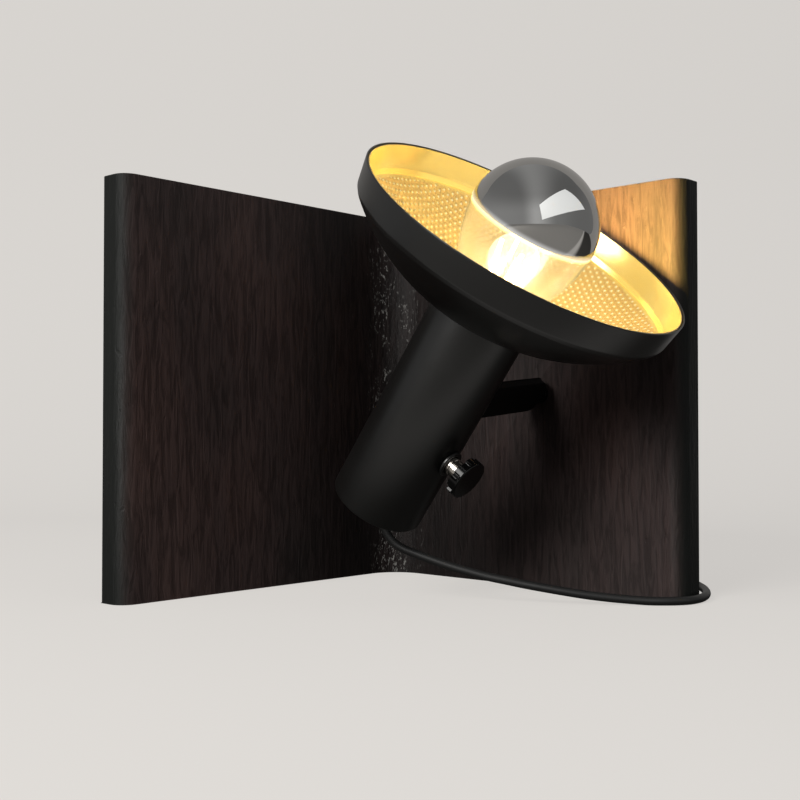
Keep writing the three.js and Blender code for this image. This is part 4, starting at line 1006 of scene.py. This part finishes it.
coil_steps = int(COIL_STEPS * (TURNS_DOWN + TURNS_UP))
coil = [coil_point(i / COIL_STEPS - TURNS_DOWN) for i in range(coil_steps + 1)]
end = coil[-1]
tail_start, tail_end = end[0] - 2 * CORD, end[0] + GAP - TAIL
tail_middle = ((tail_start + tail_end) / 2, end[1], (end[2] + PLUG_AXIS) / 2)
tail = [(tail_start, end[1], end[2]), tail_middle, (tail_end, end[1], PLUG_AXIS)]
route = [Vector(p) for p in cord_drop + cord_floor + coil + tail]
print("cord's route:", len(route), "points,", TURNS_DOWN + TURNS_UP, "turns")

# %% [markdown]
# One smooth curve passes through all the points, in short steps, and a round section is swept along it.


# %% Cord
def smooth_path(points, spacing):
    """A centripetal Catmull-Rom curve through the points, in steps of about this length."""
    ends = [2 * points[0] - points[1], *points, 2 * points[-1] - points[-2]]
    out = []
    for a, b, c, d in zip(ends, ends[1:], ends[2:], ends[3:]):
        t0 = 0.0
        t1 = t0 + (b - a).length ** 0.5
        t2 = t1 + (c - b).length ** 0.5
        t3 = t2 + (d - c).length ** 0.5
        steps = max(1, round((c - b).length / spacing))
        for k in range(steps):
            t = t1 + (t2 - t1) * k / steps
            a1 = a.lerp(b, (t - t0) / (t1 - t0))
            a2 = b.lerp(c, (t - t1) / (t2 - t1))
            a3 = c.lerp(d, (t - t2) / (t3 - t2))
            b1 = a1.lerp(a2, (t - t0) / (t2 - t0))
            b2 = a2.lerp(a3, (t - t1) / (t3 - t1))
            out.append(b1.lerp(b2, (t - t1) / (t2 - t1)))
    return out + [points[-1]]


path = smooth_path(route, 1.6)
cord = make_mesh("mains_cord", sweep(path, [CORD] * len(path), 16), LAMP)
cord.data.materials.append(sheath)
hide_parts("cord_drop", "cord_floor", "cord_coil")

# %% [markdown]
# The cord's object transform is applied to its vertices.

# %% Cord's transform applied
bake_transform(cord)

# %% [markdown]
# A strap holds the coil, and a flat two-pin plug ends the cord. The plug is a rounded moulding that
# narrows towards the cord, and its pins are turned rods with round tips.

# %% Tie and plug
PLUG_HALF, PLUG_EASED = 6.8, 2.0
PIN, PIN_FOOT, PIN_TIP, PIN_SIDE = 2, 55.6, 74.6, 9.5
refinish(plastic, "cord_tie")
PLUG = LAMP @ Matrix.Translation((COIL_AT[0] - TAIL, end[1], PLUG_AXIS)) @ Matrix.Rotation(math.pi, 4, "Z")
plug_corners = [
    (20.3, -7.5, 2), (37.8, -17.5, 5), (55.3, -17.5, 1.2), (55.3, 17.5, 1.2), (37.8, 17.5, 5), (20.3, 7.5, 2)
]
plug_shape = prism(rounded(plug_corners, 6, True), -PLUG_HALF, PLUG_HALF)
plug = make_mesh("plug_moulding", plug_shape, PLUG, bevel=PLUG_EASED)
dress(plug, plastic, "beam", "black_plastic", "plug_body")
pin_shape = lathe(rounded([(0, PIN_FOOT), (PIN, PIN_FOOT), (PIN, PIN_TIP, 1.6), (0, PIN_TIP)], 6), 32)
for letter, number, side in (("a", 1, -1), ("b", 2, 1)):
    pin_place = PLUG @ Matrix.Translation((0, side * PIN_SIDE, 0)) @ along_x
    pin = make_mesh(f"plug_pin_{letter}", pin_shape, pin_place)
    dress(pin, nickel, "beam", "nickel", f"plug_pin_{number}")

# %% [markdown]
# The stage is a pale floor that rises into a pale backdrop. The lens and the glass see it pale, but it
# throws little light up on the lamp. Light Path tells the two kinds of ray apart. Most of what the lens
# sees is a plain glow, so that the paleness is even, and the rest is a real surface, so that the lamp
# keeps its shadow. Polished metal sees it pale in front and on the backdrop, and dark in between.

# %% Floor and backdrop
PALE, DARK, EVEN_SHARE = (0.78, 0.752, 0.72, 1), (0.05, 0.047, 0.043, 1), 0.72
SWEEP_SIZE, RISE_AT, BEND, FLOOR_DROP = 2500, 900, 500, 0.0001


def seen_directly(tree, gloss_share=1.0):
    """1 for camera and glass rays, a share for mirror rays, 0 for rays that carry soft light."""
    path_kind = add(tree, "LightPath").outputs
    glossy = math_node(tree, "MULTIPLY", path_kind["Is Glossy Ray"], gloss_share)
    return math_node(tree, "MAXIMUM", path_kind["Is Camera Ray"], glossy, path_kind["Is Transmission Ray"])


backdrop = bpy.data.materials.new("studio_floor")
backdrop.use_nodes = True
tree = backdrop.node_tree
tree.nodes.clear()
dull = add(tree, "BsdfDiffuse", {"Color": DARK})
pale = add(tree, "BsdfDiffuse", {"Color": PALE})
even = add(tree, "Emission", {"Color": PALE, "Strength": 1.0})
pale_even = add(tree, "MixShader", {0: EVEN_SHARE, 1: pale.outputs[0], 2: even.outputs[0]})
floor_y = add(tree, "SeparateXYZ", {0: own_place(tree)}).outputs["Y"]
in_front = math_node(tree, "MULTIPLY_ADD", floor_y, -10.0)
in_front.node.inputs[2].default_value = -0.6
in_front_share = ramp(tree, in_front, [(0.0, 0.05), (0.45, 0.8), (0.8, 0.8), (1.0, 0.4)])
on_wall = ramp(tree, floor_y, [(0.42, 0.0), (0.5, 0.5)])
seen = seen_directly(tree, math_node(tree, "MAXIMUM", in_front_share, on_wall))
both = add(tree, "MixShader", {0: seen, 1: dull.outputs[0], 2: pale_even.outputs[0]})
add(tree, "OutputMaterial", {"Surface": both.outputs[0]})
floor_line = rounded([(-SWEEP_SIZE, 0), (RISE_AT, 0, BEND), (RISE_AT, SWEEP_SIZE)], steps=16)
verts = [(x, y, z) for y, z in floor_line for x in (-SWEEP_SIZE, SWEEP_SIZE)]
faces = [(2 * i, 2 * i + 1, 2 * i + 3, 2 * i + 2) for i in range(len(floor_line) - 1)]
floor = make_mesh("studio_sweep", (verts, faces), LAMP)
floor.location.z = -FLOOR_DROP
floor.data.materials.append(backdrop)
print("sweep's curve:", len(floor_line), "points")

# %% [markdown]
# The world stands for the studio past the sweep. The lens sees it pale, like the backdrop. Metal and
# glass see grey tones, darker to the left and overhead. All other rays get one even, weak light.

# %% World
world = bpy.data.worlds.new("studio")
scene.world = world
world.use_nodes = True
tree = world.node_tree
tree.nodes.clear()
look_axes = add(tree, "SeparateXYZ", {0: add(tree, "TexCoord").outputs["Generated"]}).outputs
sideways = math_node(tree, "ADD", math_node(tree, "MULTIPLY", look_axes["X"], 0.5), 0.5)
tones = ramp(tree, sideways, [(0.0, 0.36), (0.3, 0.33), (0.5, 0.58), (0.8, 0.26), (1.0, 0.2)], True)
overhead = ramp(tree, look_axes["Z"], [(0.25, 1.0), (0.75, 0.6)], True)
grey_tones = mix(tree, 1.0, tones, overhead, "MULTIPLY")
weak = add(tree, "Background", {"Color": (0.98, 0.99, 1.0, 1), "Strength": 0.3}).outputs[0]
mirrored = add(tree, "Background", {"Color": grey_tones, "Strength": 1.0}).outputs[0]
past_sweep = add(tree, "Background", {"Color": PALE, "Strength": 0.93}).outputs[0]
by_ray = add(tree, "MixShader", {0: seen_directly(tree), 1: weak, 2: mirrored}).outputs[0]
by_lens = add(tree, "LightPath").outputs["Is Camera Ray"]
whole = add(tree, "MixShader", {0: by_lens, 1: by_ray, 2: past_sweep})
add(tree, "OutputWorld", {"Surface": whole.outputs[0]})
print("world's nodes:", len(tree.nodes))

# %% [markdown]
# Two soft lamps light the object, a strong one from the left and a weak one from the right. Light
# linking steers them: they are left out of the crown mirror, where they would show as squares.


# %% Studio lamps
def soft_light(name, place, target, size, power, colour):
    data = bpy.data.lights.new(name, "AREA")
    data.shape = "SQUARE"
    data.size = size
    data.energy = power
    data.color = colour
    light = bpy.data.objects.new(name, data)
    light.location = LAMP @ Vector(place)
    light.rotation_euler = (LAMP @ Vector(target) - light.location).to_track_quat("-Z", "Y").to_euler()
    scene.collection.objects.link(light)
    return light


key = soft_light("left_key", (-850, -1150, 700), (20, -100, 100), 0.7, 19, (1, 0.99, 0.96))
fill = soft_light("right_fill", (1000, -900, 600), (0, -60, 80), 0.8, 0.8, (1, 0.98, 0.95))
hidden_from = bpy.data.collections.new("lamps_not_mirrored")
hidden_from.objects.link(mirror)
hidden_from.collection_objects[0].light_linking.link_state = "EXCLUDE"
for light in (key, fill):
    light.light_linking.receiver_collection = hidden_from
    print(light.name, "is", round((light.location - corner).length, 2), "m away")

# %% [markdown]
# A bright panel gives the polished pieces something to mirror. Its four corners are directions in which
# the crown's highlight asks for light, carried far out, so that its outline bends on the ball as a real
# one does. Only the mirror, the bulb, the collar and the knob receive it.

# %% Bright panel
PANEL_FAR, PANEL_SEEN_FROM = 1300, (50, -190, 166)
panel_looks = [(0.078, -0.895, 0.439), (0.645, -0.234, 0.727), (0.945, 0.042, 0.323), (0.149, -0.988, 0.04)]
panel_finish, tree, shader = new_material(
    "window_card", Roughness=1.0, Emission_Color=(0.97, 0.99, 1, 1), Emission_Strength=1.04
)
panel_corners = [Vector(PANEL_SEEN_FROM) + Vector(look).normalized() * PANEL_FAR for look in panel_looks]
panel = make_mesh("window_card", (panel_corners, [(0, 1, 2, 3)]), LAMP)
panel.data.materials.append(panel_finish)
panel.visible_camera = panel.visible_diffuse = panel.visible_shadow = panel.visible_transmission = False
mirrors = bpy.data.collections.new("window_mirrors")
for shiny in (mirror, bulb, collar, knob):
    mirrors.objects.link(shiny)
panel.light_linking.receiver_collection = mirrors
print("panel, m across:", round((panel_corners[1] - panel_corners[0]).length * MM, 2))

# %% [markdown]
# The lit bulb is three lights, which ride on the head. A small warm one throws the sharp light and
# shadow that a clear bulb does. A weak ball that the lens can see, but no mirror can, stands for the
# glare round the filaments. A spot over the rim lights only the steel, which it turns orange.

# %% Bulb's lights
FILAMENT_AT, WARM = 72, (1, 0.87, 0.42)
GLARE_AT, GLARE_WIDE, GLARE, GLARE_WARM = 79, 12, 0.8, (1, 0.9, 0.66)
BEAM_FROM, BEAM_TO, BEAM_ORANGE = (0, 32, 99), (170, 0, 195), (1, 0.6, 0.145)


def bulb_lamp(name, kind, power, radius, colour, place, glossy=True, lens_sees=False):
    """A lamp in the head's frame that moves with the head."""
    data = bpy.data.lights.new(name, kind)
    data.energy = power
    data.color = colour
    data.shadow_soft_size = radius * MM
    light = bpy.data.objects.new(name, data)
    light.location = HEAD @ Vector(place)
    light.visible_camera = lens_sees
    light.visible_transmission = lens_sees
    light.visible_glossy = glossy
    scene.collection.objects.link(light)
    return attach(light, "head")


bulb_lamp("bulb_light", "POINT", 0.52, 12, WARM, (0, 0, FILAMENT_AT))
glare_power = GLARE * 4 * math.pi**2 * (GLARE_WIDE * MM) ** 2
bulb_lamp("bulb_glare", "POINT", glare_power, GLARE_WIDE, GLARE_WARM, (0, 0, GLARE_AT), False, True)
rim_light = bulb_lamp("bulb_beam", "SPOT", 4.0, 4, BEAM_ORANGE, BEAM_FROM)
rim_light.data.spot_size = math.radians(110)
rim_light.data.spot_blend = 0.5
aim = FLANGE @ Vector(BEAM_TO) - rim_light.location
rim_light.rotation_euler = aim.to_track_quat("-Z", "Y").to_euler()
steel_only = bpy.data.collections.new("steel_only")
steel_only.objects.link(beam)
rim_light.light_linking.receiver_collection = steel_only
print("glare's power, W:", round(glare_power, 5))
